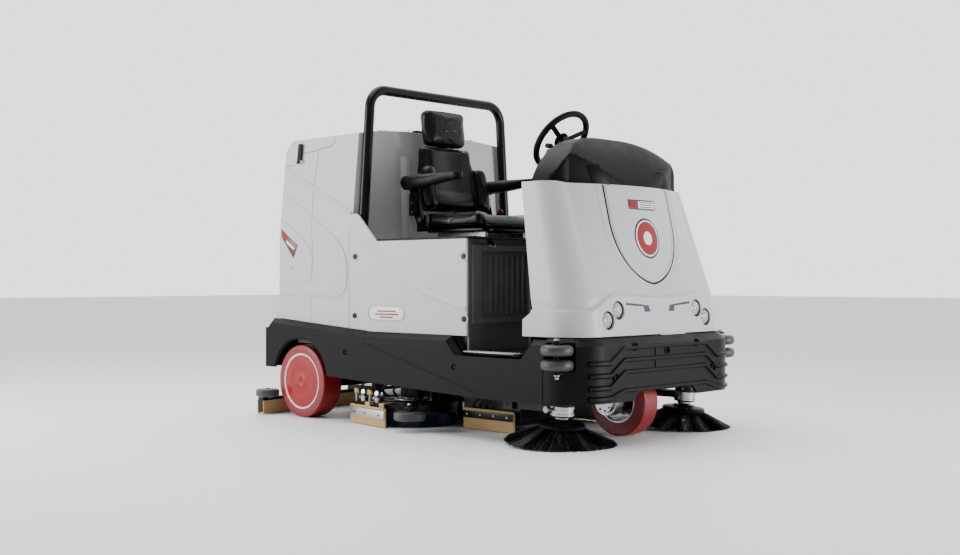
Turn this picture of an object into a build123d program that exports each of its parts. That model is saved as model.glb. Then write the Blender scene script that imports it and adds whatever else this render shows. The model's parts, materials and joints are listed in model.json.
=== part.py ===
from build123d import *
import os
from math import atan2, cos, degrees, radians, sin, sqrt, tan

# Ride-on scrubber, millimetres. +X is forward, +Y the machine's left, +Z up.
# The origin is on the floor, under the middle of the machine's bounding box.

# ---- overall sizes -------------------------------------------------------------------------
WHEELBASE = 1745.0
REAR_AXLE_X = -835.0
DRIVE_AXLE_X = REAR_AXLE_X + WHEELBASE
BODY_WIDTH = 1300.0              # over the black skirts
TANK_EDGE_Z = 1572.0             # side edge of the tank's crowned roof
TANK_CROWN = 28.0
HOOP_TOP_Z = 1815.0
GAP = 2.0                        # joint line between neighbouring covers
RUN = 0.05                       # radial running clearance of a pin in its bore

# ---- wheels --------------------------------------------------------------------------------
REAR_WHEEL_R = 200.0
REAR_WHEEL_W = 127.0
REAR_WHEEL_Y = BODY_WIDTH / 2 - 14.0 - REAR_WHEEL_W / 2
DRIVE_WHEEL_R = 170.0
DRIVE_WHEEL_W = 110.0
AXLE_R = 20.0
ARCH_CLEARANCE = 20.0

# ---- frame ---------------------------------------------------------------------------------
RAIL_Y = 290.0
RAIL_W = 60.0
RAIL_H = 70.0
FRAME_TOP_Z = 400.0
PLATE_T = 12.0
RAIL_REAR_X = REAR_AXLE_X - 260.0
RAIL_FRONT_X = DRIVE_AXLE_X - 145.0
CROSS_H = 40.0
CROSS_W = 50.0
CROSS_Z = 365.0
KINGPIN_R = 30.0

# ---- white body ----------------------------------------------------------------------------
BODY_HALF = BODY_WIDTH / 2 - 40.0          # flat flank of the tank and side panels
TANK_HALF_TOP = BODY_HALF - 52.0
TANK_REAR_X = REAR_AXLE_X - 265.0
TANK_FRONT_X = REAR_AXLE_X + 400.0
TANK_WALL = 8.0
TANK_FLOOR_Z = 1000.0
TAPER_Z = 1010.0
BELT_Z = 489.0
BELT_KINK_X = REAR_AXLE_X + 565.0
BELT_SLOPE = 0.066
SEAM_X = TANK_FRONT_X - 20.0
LID_FRONT_X = REAR_AXLE_X + 203.0
DECK_Z = 975.0
DECK_T = 12.0
BOX_FRONT_X = DRIVE_AXLE_X - 481.0
PANEL_T = 10.0
EAR_Z = 1112.0

# ---- skirts and bumpers --------------------------------------------------------------------
SKIRT_T = 12.0
SKIRT_BEVEL = 30.0
SKIRT_REAR_X = REAR_AXLE_X - 298.0
SKIRT_FRONT_X = DRIVE_AXLE_X + 38.0
SKIRT_LOW_REAR_Z = 268.0
SKIRT_LOW_MID_Z = 243.0
SKIRT_LOW_Z = 200.0
STEP_REAR_X = BOX_FRONT_X - 16.0
STEP_FRONT_X = DRIVE_AXLE_X - 125.0
STEP_Z = 397.0
BUMPER_FRONT_X = DRIVE_AXLE_X + 261.0
BUMPER_CORNER_R = 190.0
BUMPER_T = 14.0
BUMPER_TOP_Z = 500.0
BUMPER_LOW_Z = 205.0
RIB_H = 16.0
RIB_OUT = 8.0
ROLLER_X = DRIVE_AXLE_X + 130.0
ROLLER_Y = BODY_WIDTH / 2 + 7.0
ROLLER_R = 75.0
ROLLER_H = 50.0
ROLLER_ZS = (383.0, 448.0)
ROLLER_PIN_R = 10.0

# ---- front cowl and hood -------------------------------------------------------------------
COWL_T = 7.0
COWL_Z = 502.0
COWL_LIP_Z = 678.0
COWL_TOP_Z = 1205.0
COWL_REAR_X = DRIVE_AXLE_X - 180.0
HOOD_TOP_Z = 1460.0
HOOD_T = 5.0
LAMP_R = 42.0

# ---- driver's place ------------------------------------------------------------------------
FLOOR_TOP_Z = 416.0
WHEEL_RIM_R = 161.0
WHEEL_RIM_TUBE_R = 14.0
WHEEL_X = DRIVE_AXLE_X - 399.0
WHEEL_Z = 1480.0
WHEEL_TILT = 52.0
COLUMN_R = 26.0
SEAT_X = REAR_AXLE_X + 785.0     # middle of the cushion
CUSHION_L = 470.0
CUSHION_W = 500.0
CUSHION_Z = 1030.0
CUSHION_H = 76.0

# ---- scrub deck ----------------------------------------------------------------------------
DISC_R = 242.0
DISC_Y = DISC_R * 1.53
DISC_X = REAR_AXLE_X + 627.0
DISC_MID_X = DISC_X - DISC_R * 1.39
DECK_PLATE_Z = 100.0
DECK_PLATE_T = 18.0
MOTOR_R = 70.0
MOTOR_TOP_Z = 268.0
SHAFT_R = 14.0
BLADE_H = 96.0
BLADE_T = 8.0
BLADE_Z = 4.0
DECK_ROLLER_R = 80.0
DECK_ROLLER_H = 44.0
DECK_ROLLER_X = REAR_AXLE_X + 907.0
DECK_ROLLER_Y = DISC_Y + 285.0
DECK_ROLLER_Z = 80.0
DECK_ROLLER_PIN_R = 8.0
POST_R = 14.0
POST_X = REAR_AXLE_X + 505.0
POST_Y = 100.0
POST_LOW_Z = 142.0

# ---- sweeping head and side brushes ----------------------------------------------------------
SWEEP_REAR_X = DRIVE_AXLE_X - 770.0
SWEEP_FRONT_X = DRIVE_AXLE_X - 380.0
SWEEP_HALF = 335.0
BROOM_R = 106.0
BROOM_X = DRIVE_AXLE_X - 560.0
BROOM_SHAFT_R = 12.0
SIDE_X = DRIVE_AXLE_X + 8.0
SIDE_Y = 487.0
SIDE_TIP_R = 268.0
SIDE_PLATE_R = 110.0
SIDE_PLATE_Z = 112.0
SIDE_FORWARD_TILT = 5.0
SIDE_OUTWARD_TILT = 1.5
SIDE_PIVOT_X = DRIVE_AXLE_X - 290.0
SIDE_PIVOT_Z = 168.0
SIDE_PIVOT_R = 10.0
EAR_GAP = 90.0

# ---- squeegee --------------------------------------------------------------------------------
SQ_END_X = REAR_AXLE_X - 285.0
SQ_MID_X = REAR_AXLE_X - 324.0
SQ_HALF = 705.0
SQ_ROLLER_R = 66.0
SQ_ROLLER_H = 40.0
SQ_ROLLER_X = REAR_AXLE_X - 262.0
SQ_ROLLER_Y = 672.0
SQ_ROLLER_Z = 122.0
SQ_PIVOT_X = REAR_AXLE_X - 85.0
SQ_PIVOT_Z = 205.0
SQ_PIN_R = 8.0

SIDES = (("right", -1), ("left", 1))

os.makedirs("parts", exist_ok=True)


def save(part, name):
    """Label a finished piece and write it as its own STEP file."""
    part.label = name
    export_step(part, f"parts/{name}.step")


def belt_z(x):
    """Height of the line where the white body meets the black skirt."""
    return BELT_Z + max(0.0, BELT_KINK_X - x) * BELT_SLOPE


def side_plane(y):
    """A plane facing +Y at the given Y, whose local axes are -X and Z turned to X and Z."""
    return Plane(origin=(0, y, 0), x_dir=(1, 0, 0), z_dir=(0, -1, 0))


def nose_outline(rear_x, front_x, half, corner_r, bow):
    """Plan outline of a bowed nose: straight flanks, round corners, bowed front."""
    corner_x = front_x - bow - corner_r
    corner_y = half - corner_r
    diagonal = corner_r * sin(radians(45))
    with BuildSketch() as outline:
        with BuildLine():
            flank = Line((rear_x, -half), (corner_x, -half))
            low = ThreePointArc(
                flank @ 1,
                (corner_x + diagonal, -corner_y - diagonal),
                (front_x - bow, -corner_y),
            )
            front = ThreePointArc(low @ 1, (front_x, 0), (front_x - bow, corner_y))
            high = ThreePointArc(
                front @ 1, (corner_x + diagonal, corner_y + diagonal), (corner_x, half)
            )
            far = Line(high @ 1, (rear_x, half))
            Line(far @ 1, flank @ 0)
        make_face()
    return outline.sketch_local


# ==============================================================================================
# Frame
# ==============================================================================================
SKIRT_IN_Y = BODY_WIDTH / 2 - SKIRT_T
POST_CROSS_X = POST_X
HOOP_X = TANK_FRONT_X + 35.0
FRONT_POST_X = BOX_FRONT_X - 34.0
PILLAR_Y = BODY_HALF - 48.0
PLATE_BOTTOM_Z = FRAME_TOP_Z + 4.0

with BuildPart() as main_frame:
    rail_length = RAIL_FRONT_X - RAIL_REAR_X
    for side in (-1, 1):
        with Locations(((RAIL_REAR_X + RAIL_FRONT_X) / 2, side * RAIL_Y, FRAME_TOP_Z - RAIL_H / 2)):
            Box(rail_length, RAIL_W, RAIL_H)
    for x in (RAIL_REAR_X + 5.0, REAR_AXLE_X + 275.0, HOOP_X):
        with Locations((x, 0, CROSS_Z)):
            Box(CROSS_W, 2 * (SKIRT_IN_Y - GAP), CROSS_H)
    for x in (FRONT_POST_X, RAIL_FRONT_X - 125.0):
        with Locations((x, 0, CROSS_Z)):
            Box(CROSS_W, 2 * (BODY_HALF - 2 * GAP), CROSS_H)
    # Cross member that carries the vacuum motor and the deck's guide posts.
    with Locations((POST_CROSS_X, 0, FRAME_TOP_Z - 27.5)):
        Box(CROSS_W, 2 * RAIL_Y, 55.0)
    for side in (-1, 1):
        with Locations((POST_X, side * POST_Y, (POST_LOW_Z + 350.0) / 2)):
            Cylinder(POST_R, 350.0 - POST_LOW_Z)
    # Pillars under the seat deck.
    for x in (HOOP_X, FRONT_POST_X):
        for side in (-1, 1):
            pillar_h = DECK_Z - DECK_T - CROSS_Z
            with Locations((x, side * PILLAR_Y, CROSS_Z + pillar_h / 2)):
                Box(34.0, 34.0, pillar_h)
    # Rear axle beam, its hangers and stub axles.
    beam_half = REAR_WHEEL_Y - REAR_WHEEL_W / 2 - 38.0
    with Locations((REAR_AXLE_X, 0, REAR_WHEEL_R)):
        Box(80.0, 2 * beam_half, 80.0)
    for side in (-1, 1):
        with Locations((REAR_AXLE_X, side * RAIL_Y, REAR_WHEEL_R + 85.0)):
            Box(80.0, 40.0, 100.0)
        stub_end = REAR_WHEEL_Y + REAR_WHEEL_W / 2 - 18.0
        stub_mid = side * (beam_half + stub_end) / 2
        with Locations(Location((REAR_AXLE_X, stub_mid, REAR_WHEEL_R), (90, 0, 0))):
            Cylinder(AXLE_R, stub_end - beam_half + 4.0)
    # Ears for the squeegee arm on the back of the beam.
    for side in (-1, 1):
        with Locations((SQ_PIVOT_X + 16.0, side * 44.0, SQ_PIVOT_Z)):
            Box(64.0, 10.0, 46.0)
    with Locations(Location((SQ_PIVOT_X, 0, SQ_PIVOT_Z), (90, 0, 0))):
        Cylinder(SQ_PIN_R, 98.0)
    # Uprights that carry the front floor.
    for side in (-1, 1):
        with Locations((RAIL_FRONT_X + 18.0, side * RAIL_Y, (PLATE_BOTTOM_Z + FRAME_TOP_Z - RAIL_H) / 2)):
            Box(60.0, RAIL_W, PLATE_BOTTOM_Z - FRAME_TOP_Z + RAIL_H)
    # Ears and pins for the side brush arms.
    ear_x = (SIDE_PIVOT_X + RAIL_FRONT_X - 125.0) / 2
    for side in (-1, 1):
        for offset in (-1, 1):
            ear_y = side * SIDE_Y + offset * EAR_GAP / 2
            with Locations((ear_x, ear_y, (SIDE_PIVOT_Z - 22.0 + CROSS_Z) / 2)):
                Box(60.0, 10.0, CROSS_Z - SIDE_PIVOT_Z + 22.0)
        with Locations(Location((SIDE_PIVOT_X, side * SIDE_Y, SIDE_PIVOT_Z), (90, 0, 0))):
            Cylinder(SIDE_PIVOT_R, EAR_GAP + 16.0)
save(main_frame.part, "main_frame")

# ==============================================================================================
# Skirts and bumpers
# ==============================================================================================
ARCH_R = REAR_WHEEL_R + ARCH_CLEARANCE


def arch_x(z, side):
    """Where the wheel arch meets the skirt's lower edge at height z."""
    return REAR_AXLE_X + side * sqrt(ARCH_R**2 - (z - REAR_WHEEL_R) ** 2)


with BuildPart() as skirt_right:
    with BuildSketch(side_plane(-BODY_HALF + 2.0)):
        with BuildLine():
            rear_low = Line(
                (SKIRT_REAR_X, SKIRT_LOW_REAR_Z), (arch_x(SKIRT_LOW_REAR_Z, -1), SKIRT_LOW_REAR_Z)
            )
            arch = ThreePointArc(
                rear_low @ 1,
                (REAR_AXLE_X, REAR_WHEEL_R + ARCH_R),
                (arch_x(SKIRT_LOW_MID_Z, 1), SKIRT_LOW_MID_Z),
            )
            rest = Polyline(
                arch @ 1,
                (DRIVE_AXLE_X - 365.0, SKIRT_LOW_Z),
                (SKIRT_FRONT_X, SKIRT_LOW_Z),
                (SKIRT_FRONT_X, BELT_Z),
                (STEP_FRONT_X + 85.0, BELT_Z),
                (STEP_FRONT_X + 58.0, BELT_Z - 26.0),
                (STEP_FRONT_X, STEP_Z),
                (STEP_REAR_X, STEP_Z),
                (STEP_REAR_X - 55.0, BELT_Z - 31.0),
                (STEP_REAR_X - 80.0, BELT_Z),
                (BELT_KINK_X, BELT_Z),
                (TANK_REAR_X - GAP, belt_z(TANK_REAR_X)),
                (SKIRT_REAR_X, belt_z(TANK_REAR_X) - 30.0),
                rear_low @ 0,
            )
        make_face()
    extrude(amount=BODY_WIDTH / 2 - BODY_HALF + 2.0)
    outer_top = [
        edge
        for edge in skirt_right.edges().group_by(Axis.Y)[0]
        if edge.center().Z > STEP_Z - 1.0 and edge.center().Z > BELT_Z - 80.0
        and edge.length > 20.0 and abs(edge.tangent_at(0.5).Z) < 0.95
    ]
    chamfer(outer_top, SKIRT_BEVEL, SKIRT_BEVEL * 0.8)
    # The hollow behind the outer wall.
    roof_drop = SKIRT_BEVEL + 6.0
    with BuildSketch(side_plane(-BODY_HALF + 20.0)):
        with BuildLine():
            Polyline(
                (SKIRT_REAR_X + SKIRT_T, SKIRT_LOW_Z - 10.0),
                (SKIRT_FRONT_X - SKIRT_T, SKIRT_LOW_Z - 10.0),
                (SKIRT_FRONT_X - SKIRT_T, STEP_Z - roof_drop),
                (STEP_REAR_X - 50.0, STEP_Z - roof_drop),
                (STEP_REAR_X - 90.0, BELT_Z - roof_drop),
                (BELT_KINK_X, BELT_Z - roof_drop),
                (SKIRT_REAR_X + SKIRT_T + 24.0, belt_z(TANK_REAR_X) - roof_drop),
                (SKIRT_REAR_X + SKIRT_T, belt_z(TANK_REAR_X) - roof_drop - 30.0),
                close=True,
            )
        make_face()
    extrude(amount=SKIRT_IN_Y - BODY_HALF + 20.0, mode=Mode.SUBTRACT)
    # Recessed screw holes.
    for x, z in ((REAR_AXLE_X + 396.0, 376.0), (STEP_REAR_X - 35.0, 339.0)):
        with Locations(Location((x, -BODY_WIDTH / 2, z), (90, 0, 0))):
            Cylinder(14.0, 16.0, mode=Mode.SUBTRACT)
save(skirt_right.part, "skirt_right")

with BuildPart() as skirt_left:
    mirror(skirt_right.part, about=Plane.XZ)
save(skirt_left.part, "skirt_left")

REAR_BUMPER_X = SKIRT_REAR_X - 22.0

with BuildPart() as rear_bumper:
    top_z = belt_z(TANK_REAR_X) - 3.0
    slope_z = top_z - 50.0
    slab_l = SKIRT_REAR_X - GAP - REAR_BUMPER_X
    with Locations((REAR_BUMPER_X + slab_l / 2, 0, (SKIRT_LOW_REAR_Z + slope_z) / 2)):
        Box(slab_l, BODY_WIDTH, slope_z - SKIRT_LOW_REAR_Z)
    fillet(rear_bumper.edges().filter_by(Axis.Z).group_by(Axis.X)[0], 14.0)
    # Sloping top between the skirts' ends.
    with BuildSketch(Plane.XZ):
        with BuildLine():
            Polyline(
                (REAR_BUMPER_X, slope_z - 1.0),
                (TANK_REAR_X - GAP, top_z),
                (TANK_REAR_X - GAP, top_z - 14.0),
                (SKIRT_REAR_X - GAP, slope_z - 12.0),
                (REAR_BUMPER_X, slope_z - 12.0),
                close=True,
            )
        make_face()
    extrude(amount=BODY_HALF - 2 * GAP, both=True)
    for z in (283.0, 333.0, 383.0, 433.0):
        with Locations((REAR_BUMPER_X - RIB_OUT / 2 + 1.0, 0, z + RIB_H / 2)):
            Box(RIB_OUT + 2.0, BODY_WIDTH - 34.0, RIB_H)
save(rear_bumper.part, "rear_bumper")

CORNER_X = SKIRT_FRONT_X + GAP
PIN_LOW_Z = ROLLER_ZS[0] - ROLLER_H / 2 - 14.0
PIN_TOP_Z = ROLLER_ZS[1] + ROLLER_H / 2 + 12.0

with BuildPart() as front_bumper:
    nose_half = BODY_WIDTH / 2 - 2.0
    with BuildSketch(Plane.XY.offset(BUMPER_LOW_Z)):
        add(nose_outline(CORNER_X, BUMPER_FRONT_X, nose_half, BUMPER_CORNER_R, 6.0))
    extrude(amount=BUMPER_TOP_Z - BUMPER_LOW_Z - 2.0)
    front_top = front_bumper.edges().group_by(Axis.Z)[-1].filter_by(
        lambda edge: edge.center().X > CORNER_X + 10.0
    )
    chamfer(front_top, 34.0)
    with BuildSketch(Plane.XY.offset(BUMPER_LOW_Z - 5.0)):
        add(
            nose_outline(
                CORNER_X - 5.0,
                BUMPER_FRONT_X - BUMPER_T,
                nose_half - BUMPER_T,
                BUMPER_CORNER_R - BUMPER_T,
                6.0,
            )
        )
    extrude(amount=BUMPER_TOP_Z - BUMPER_LOW_Z - 58.0, mode=Mode.SUBTRACT)
    with BuildSketch(Plane.XY.offset(BUMPER_LOW_Z + 100.0)):
        add(
            nose_outline(
                CORNER_X - 5.0,
                BUMPER_FRONT_X - BUMPER_T - 40.0,
                nose_half - BUMPER_T - 40.0,
                BUMPER_CORNER_R - BUMPER_T - 40.0,
                6.0,
            )
        )
    extrude(amount=BUMPER_TOP_Z - BUMPER_LOW_Z, mode=Mode.SUBTRACT)
    # Opening for the drive wheel in the lower edge.
    with BuildSketch(Plane.YZ.offset(DRIVE_AXLE_X + 60.0)):
        with BuildLine():
            Polyline((-262.0, 200.0), (-215.0, 250.0), (215.0, 250.0), (262.0, 200.0), close=True)
        make_face()
    extrude(amount=260.0, mode=Mode.SUBTRACT)
    # Pockets for the stacked corner rollers.
    for side in (-1, 1):
        pocket_z = (PIN_LOW_Z + PIN_TOP_Z) / 2 + 2.0
        with Locations((ROLLER_X, side * ROLLER_Y, pocket_z)):
            Cylinder(ROLLER_R + 10.0, PIN_TOP_Z - PIN_LOW_Z - 10.0, mode=Mode.SUBTRACT)
    # Bracket plates and bolt that hold the rollers.
    for side in (-1, 1):
        for z in (PIN_LOW_Z, PIN_TOP_Z):
            with BuildSketch(Plane.XY.offset(z - 4.0)):
                with Locations((ROLLER_X, side * ROLLER_Y)):
                    Circle(24.0)
                with Locations((ROLLER_X - 6.0, side * (ROLLER_Y - 55.0))):
                    Rectangle(48.0, 110.0)
            extrude(amount=8.0)
        with Locations((ROLLER_X, side * ROLLER_Y, (PIN_LOW_Z + PIN_TOP_Z) / 2)):
            Cylinder(ROLLER_PIN_R, PIN_TOP_Z - PIN_LOW_Z + 20.0)
    # Tow hole and bolt holes.
    for y, z in ((0.0, 429.0), (-250.0, 455.0), (250.0, 455.0), (-395.0, 322.0), (395.0, 322.0)):
        with Locations(Location((BUMPER_FRONT_X, y, z), (0, 90, 0))):
            Cylinder(13.0, 60.0, mode=Mode.SUBTRACT)
save(front_bumper.part, "front_bumper")

for name, side in SIDES:
    with BuildPart() as corner_rollers:
        for z in ROLLER_ZS:
            with Locations((ROLLER_X, side * ROLLER_Y, z)):
                Cylinder(ROLLER_R, ROLLER_H)
        fillet(corner_rollers.edges().filter_by(GeomType.CIRCLE), 12.0)
        for z in ROLLER_ZS:
            with Locations((ROLLER_X, side * ROLLER_Y, z)):
                Cylinder(ROLLER_PIN_R + RUN, ROLLER_H + 4.0, mode=Mode.SUBTRACT)
    save(corner_rollers.part, f"corner_rollers_{name}")

# ==============================================================================================
# Rear body: recovery tank, its lid and latch, solution tank
# ==============================================================================================
RECESS = 75.0
CORNER_CUT = 32.0
ROOF_REAR_X = TANK_REAR_X + 145.0
SHOULDER_X = TANK_REAR_X + 52.0
SHOULDER_Z = TANK_EDGE_Z - 50.0
REAR_TOP_Z = TANK_EDGE_Z - 160.0


def tank_block(inset, low_z):
    """The rear body's outer form, drawn in by inset on every side, down to low_z."""
    with BuildPart() as block:
        with BuildSketch(Plane.XZ):
            with BuildLine():
                Polyline(
                    (TANK_REAR_X + inset, low_z),
                    (TANK_REAR_X + inset, REAR_TOP_Z),
                    (SHOULDER_X + inset, SHOULDER_Z - inset),
                    (ROOF_REAR_X + inset, TANK_EDGE_Z - 22.0 + TANK_CROWN - inset),
                    (TANK_FRONT_X - inset, TANK_EDGE_Z + TANK_CROWN - inset),
                    (TANK_FRONT_X - inset, low_z),
                    close=True,
                )
            make_face()
        extrude(amount=BODY_HALF + 50.0, both=True)
        with BuildSketch(Plane.YZ.offset(TANK_REAR_X - 50.0)):
            half = BODY_HALF - inset
            top = TANK_HALF_TOP - inset
            with BuildLine():
                up = Line((-half, low_z - 10.0), (-half, TAPER_Z))
                lean = Line(up @ 1, (-top, TANK_EDGE_Z - inset - 22.0))
                crown = ThreePointArc(
                    lean @ 1, (0, TANK_EDGE_Z + TANK_CROWN - inset), (top, TANK_EDGE_Z - inset - 22.0)
                )
                down = Line(crown @ 1, (half, TAPER_Z))
                foot = Line(down @ 1, (half, low_z - 10.0))
                Line(foot @ 1, up @ 0)
            make_face()
        extrude(amount=TANK_FRONT_X - TANK_REAR_X + 100.0, mode=Mode.INTERSECT)
        rear_corners = [
            edge
            for edge in block.edges()
            if edge.center().X < TANK_REAR_X + inset + 0.5 and abs(edge.tangent_at(0.5).Z) > 0.9
        ]
        chamfer(rear_corners, CORNER_CUT - inset * 0.59)
        # The front wall is drawn in behind the seat.
        reach = TANK_HALF_TOP - 55.0 + inset
        with BuildSketch(Plane.XY.offset(DECK_Z - inset)):
            with BuildLine():
                bowl = ThreePointArc(
                    (TANK_FRONT_X + 1.0, -reach),
                    (TANK_FRONT_X - RECESS - inset, 0),
                    (TANK_FRONT_X + 1.0, reach),
                )
                Line(bowl @ 1, bowl @ 0)
            make_face()
        extrude(amount=TANK_EDGE_Z, mode=Mode.SUBTRACT)
    return block.part


def lid_region(gap):
    """The space above and behind the lid's joint line, moved out from it by gap."""
    with BuildPart() as region:
        with BuildSketch(Plane.XZ):
            with BuildLine():
                Polyline(
                    (TANK_REAR_X - 60.0, REAR_TOP_Z + gap),
                    (TANK_REAR_X + 96.0, REAR_TOP_Z - 5.0 + gap),
                    (TANK_REAR_X + 140.0, TANK_EDGE_Z - 122.0 + gap),
                    (TANK_REAR_X + 200.0, TANK_EDGE_Z - 104.0 + gap),
                    (LID_FRONT_X - 28.0 - gap, TANK_EDGE_Z - 78.0 + gap),
                    (LID_FRONT_X - gap, TANK_EDGE_Z - 60.0 + gap),
                    (LID_FRONT_X - gap, TANK_EDGE_Z + 100.0),
                    (TANK_REAR_X - 60.0, TANK_EDGE_Z + 100.0),
                    close=True,
                )
            make_face()
        extrude(amount=BODY_HALF + 60.0, both=True)
    return region.part


HINGE_X = LID_FRONT_X - 1.5
HINGE_Z = TANK_EDGE_Z + TANK_CROWN
HINGE_R = 10.0
HINGE_PIN_R = 4.0
LATCH_X = TANK_REAR_X + 176.0
LATCH_Z = TANK_EDGE_Z - 150.0
FLANK_LEAN = (BODY_HALF - TANK_HALF_TOP) / (TANK_EDGE_Z - 22.0 - TAPER_Z)
LATCH_Y = -(BODY_HALF - (LATCH_Z - TAPER_Z) * FLANK_LEAN + 10.0)
LATCH_PIN_R = 3.0

tank_outside = tank_block(0.0, belt_z(TANK_REAR_X) + 3.0)
tank_chamber = tank_block(TANK_WALL, TANK_FLOOR_Z)
tank_under = tank_block(TANK_WALL, BELT_Z - 40.0)

with BuildPart() as recovery_tank:
    add(tank_outside)
    # Lower edge follows the skirt's sloping top.
    with BuildSketch(Plane.XZ):
        with BuildLine():
            Polyline(
                (TANK_REAR_X, belt_z(TANK_REAR_X) + 40.0),
                (TANK_REAR_X, belt_z(TANK_REAR_X) + 3.0),
                (SEAM_X, belt_z(SEAM_X) + 3.0),
                (SEAM_X, belt_z(TANK_REAR_X) + 40.0),
                close=True,
            )
        make_face()
    extrude(amount=BODY_HALF, both=True)
    # The side panels run over the tank's front lower corner.
    for side in (-1, 1):
        with Locations(
            (TANK_FRONT_X, side * (BODY_HALF - PANEL_T / 2 + 1.0), (BELT_Z + EAR_Z) / 2 + 1.0)
        ):
            Box(2 * (TANK_FRONT_X - SEAM_X) + 2 * GAP, PANEL_T + 4.0, EAR_Z - BELT_Z + 60.0, mode=Mode.SUBTRACT)
    add(tank_chamber, mode=Mode.SUBTRACT)
    with BuildPart(mode=Mode.PRIVATE) as lower_room:
        add(tank_under)
        with Locations((TANK_FRONT_X, 0, TANK_FLOOR_Z - TANK_WALL)):
            Box(2000.0, 2000.0, 1000.0, align=(Align.CENTER, Align.CENTER, Align.MIN), mode=Mode.SUBTRACT)
    add(lower_room.part, mode=Mode.SUBTRACT)
    add(lid_region(0.0), mode=Mode.SUBTRACT)
    # Moulded steps across the rear face.
    for low, high in ((684.0, 768.0), (834.0, 962.0), (1098.0, 1268.0)):
        with Locations((TANK_REAR_X, 0, (low + high) / 2)):
            Box(9.0, 2 * BODY_HALF, high - low, mode=Mode.SUBTRACT)
    # Hinge knuckles and pin, set in notches of the roof.
    for side in (-1, 1):
        with Locations(Location((HINGE_X, side * 200.0, HINGE_Z), (90, 0, 0))):
            Cylinder(HINGE_R + 1.5, 120.0, mode=Mode.SUBTRACT)
        for offset in (-37.0, 37.0):
            with Locations(Location((HINGE_X, side * 200.0 + offset, HINGE_Z), (90, 0, 0))):
                Cylinder(HINGE_R, 26.0)
            with Locations((HINGE_X + 14.0, side * 200.0 + offset, HINGE_Z - 7.0)):
                Box(26.0, 26.0, 12.0)
        with Locations(Location((HINGE_X, side * 200.0, HINGE_Z), (90, 0, 0))):
            Cylinder(HINGE_PIN_R, 90.0)
    # Ears and pin of the lid latch.
    for offset in (-22.0, 22.0):
        with Locations((LATCH_X + offset, LATCH_Y + 4.0, LATCH_Z)):
            Box(8.0, 24.0, 16.0)
    with Locations(Location((LATCH_X, LATCH_Y, LATCH_Z), (0, 90, 0))):
        Cylinder(LATCH_PIN_R, 50.0)
save(recovery_tank.part, "recovery_tank")

with BuildPart() as tank_lid:
    add(tank_outside)
    add(lid_region(3.0), mode=Mode.INTERSECT)
    add(tank_chamber, mode=Mode.SUBTRACT)
    for side in (-1, 1):
        with Locations(Location((HINGE_X, side * 200.0, HINGE_Z), (90, 0, 0))):
            Cylinder(HINGE_R + 1.5, 120.0, mode=Mode.SUBTRACT)
            Cylinder(HINGE_R, 44.0)
        with Locations((HINGE_X - 15.0, side * 200.0, HINGE_Z - 7.0)):
            Box(28.0, 44.0, 12.0)
        with Locations(Location((HINGE_X, side * 200.0, HINGE_Z), (90, 0, 0))):
            Cylinder(HINGE_PIN_R + RUN, 60.0, mode=Mode.SUBTRACT)
save(tank_lid.part, "tank_lid")

with BuildPart() as lid_latch:
    lean = degrees(atan2(FLANK_LEAN, 1.0))
    with Locations(Location((LATCH_X, LATCH_Y, LATCH_Z), (-lean, 0, 0))):
        with Locations((0, -1.0, 52.0)):
            Box(32.0, 9.0, 104.0)
    fillet(lid_latch.edges().filter_by(Axis.Y, tolerance=15), 6.0)
    with Locations(Location((LATCH_X, LATCH_Y, LATCH_Z), (0, 90, 0))):
        Cylinder(7.0, 32.0)
        Cylinder(LATCH_PIN_R + RUN, 60.0, mode=Mode.SUBTRACT)
save(lid_latch.part, "lid_latch")

SOLUTION_HALF = REAR_WHEEL_Y - REAR_WHEEL_W / 2 - 14.0
SOLUTION_WALL = 6.0

with BuildPart() as solution_tank:
    solution_l = TANK_FRONT_X - 10.0 - TANK_REAR_X - 25.0
    solution_x = (TANK_FRONT_X - 10.0 + TANK_REAR_X + 25.0) / 2
    solution_h = DECK_Z - TANK_WALL - 7.0 - FRAME_TOP_Z
    with Locations((solution_x, 0, FRAME_TOP_Z + solution_h / 2)):
        Box(solution_l, 2 * SOLUTION_HALF, solution_h)
    fillet(solution_tank.edges().filter_by(Axis.Z), 40.0)
    with Locations((solution_x, 0, FRAME_TOP_Z + solution_h / 2)):
        Box(
            solution_l - 2 * SOLUTION_WALL,
            2 * (SOLUTION_HALF - SOLUTION_WALL),
            solution_h - 2 * SOLUTION_WALL,
            mode=Mode.SUBTRACT,
        )
    with Locations((solution_x, 0, FRAME_TOP_Z + solution_h)):
        Cylinder(60.0, 40.0, mode=Mode.SUBTRACT)
save(solution_tank.part, "solution_tank")

# ==============================================================================================
# Battery box: side panels, fasteners, deck, kick panel, batteries, vacuum motor
# ==============================================================================================
FASTENER_R = 14.0
FASTENER_XZ = (
    (SEAM_X + 52.0, 885.0),
    (BOX_FRONT_X - 19.0, 877.0),
    (SEAM_X + 49.0, 571.0),
    (BOX_FRONT_X - 16.0, 572.0),
)

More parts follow.
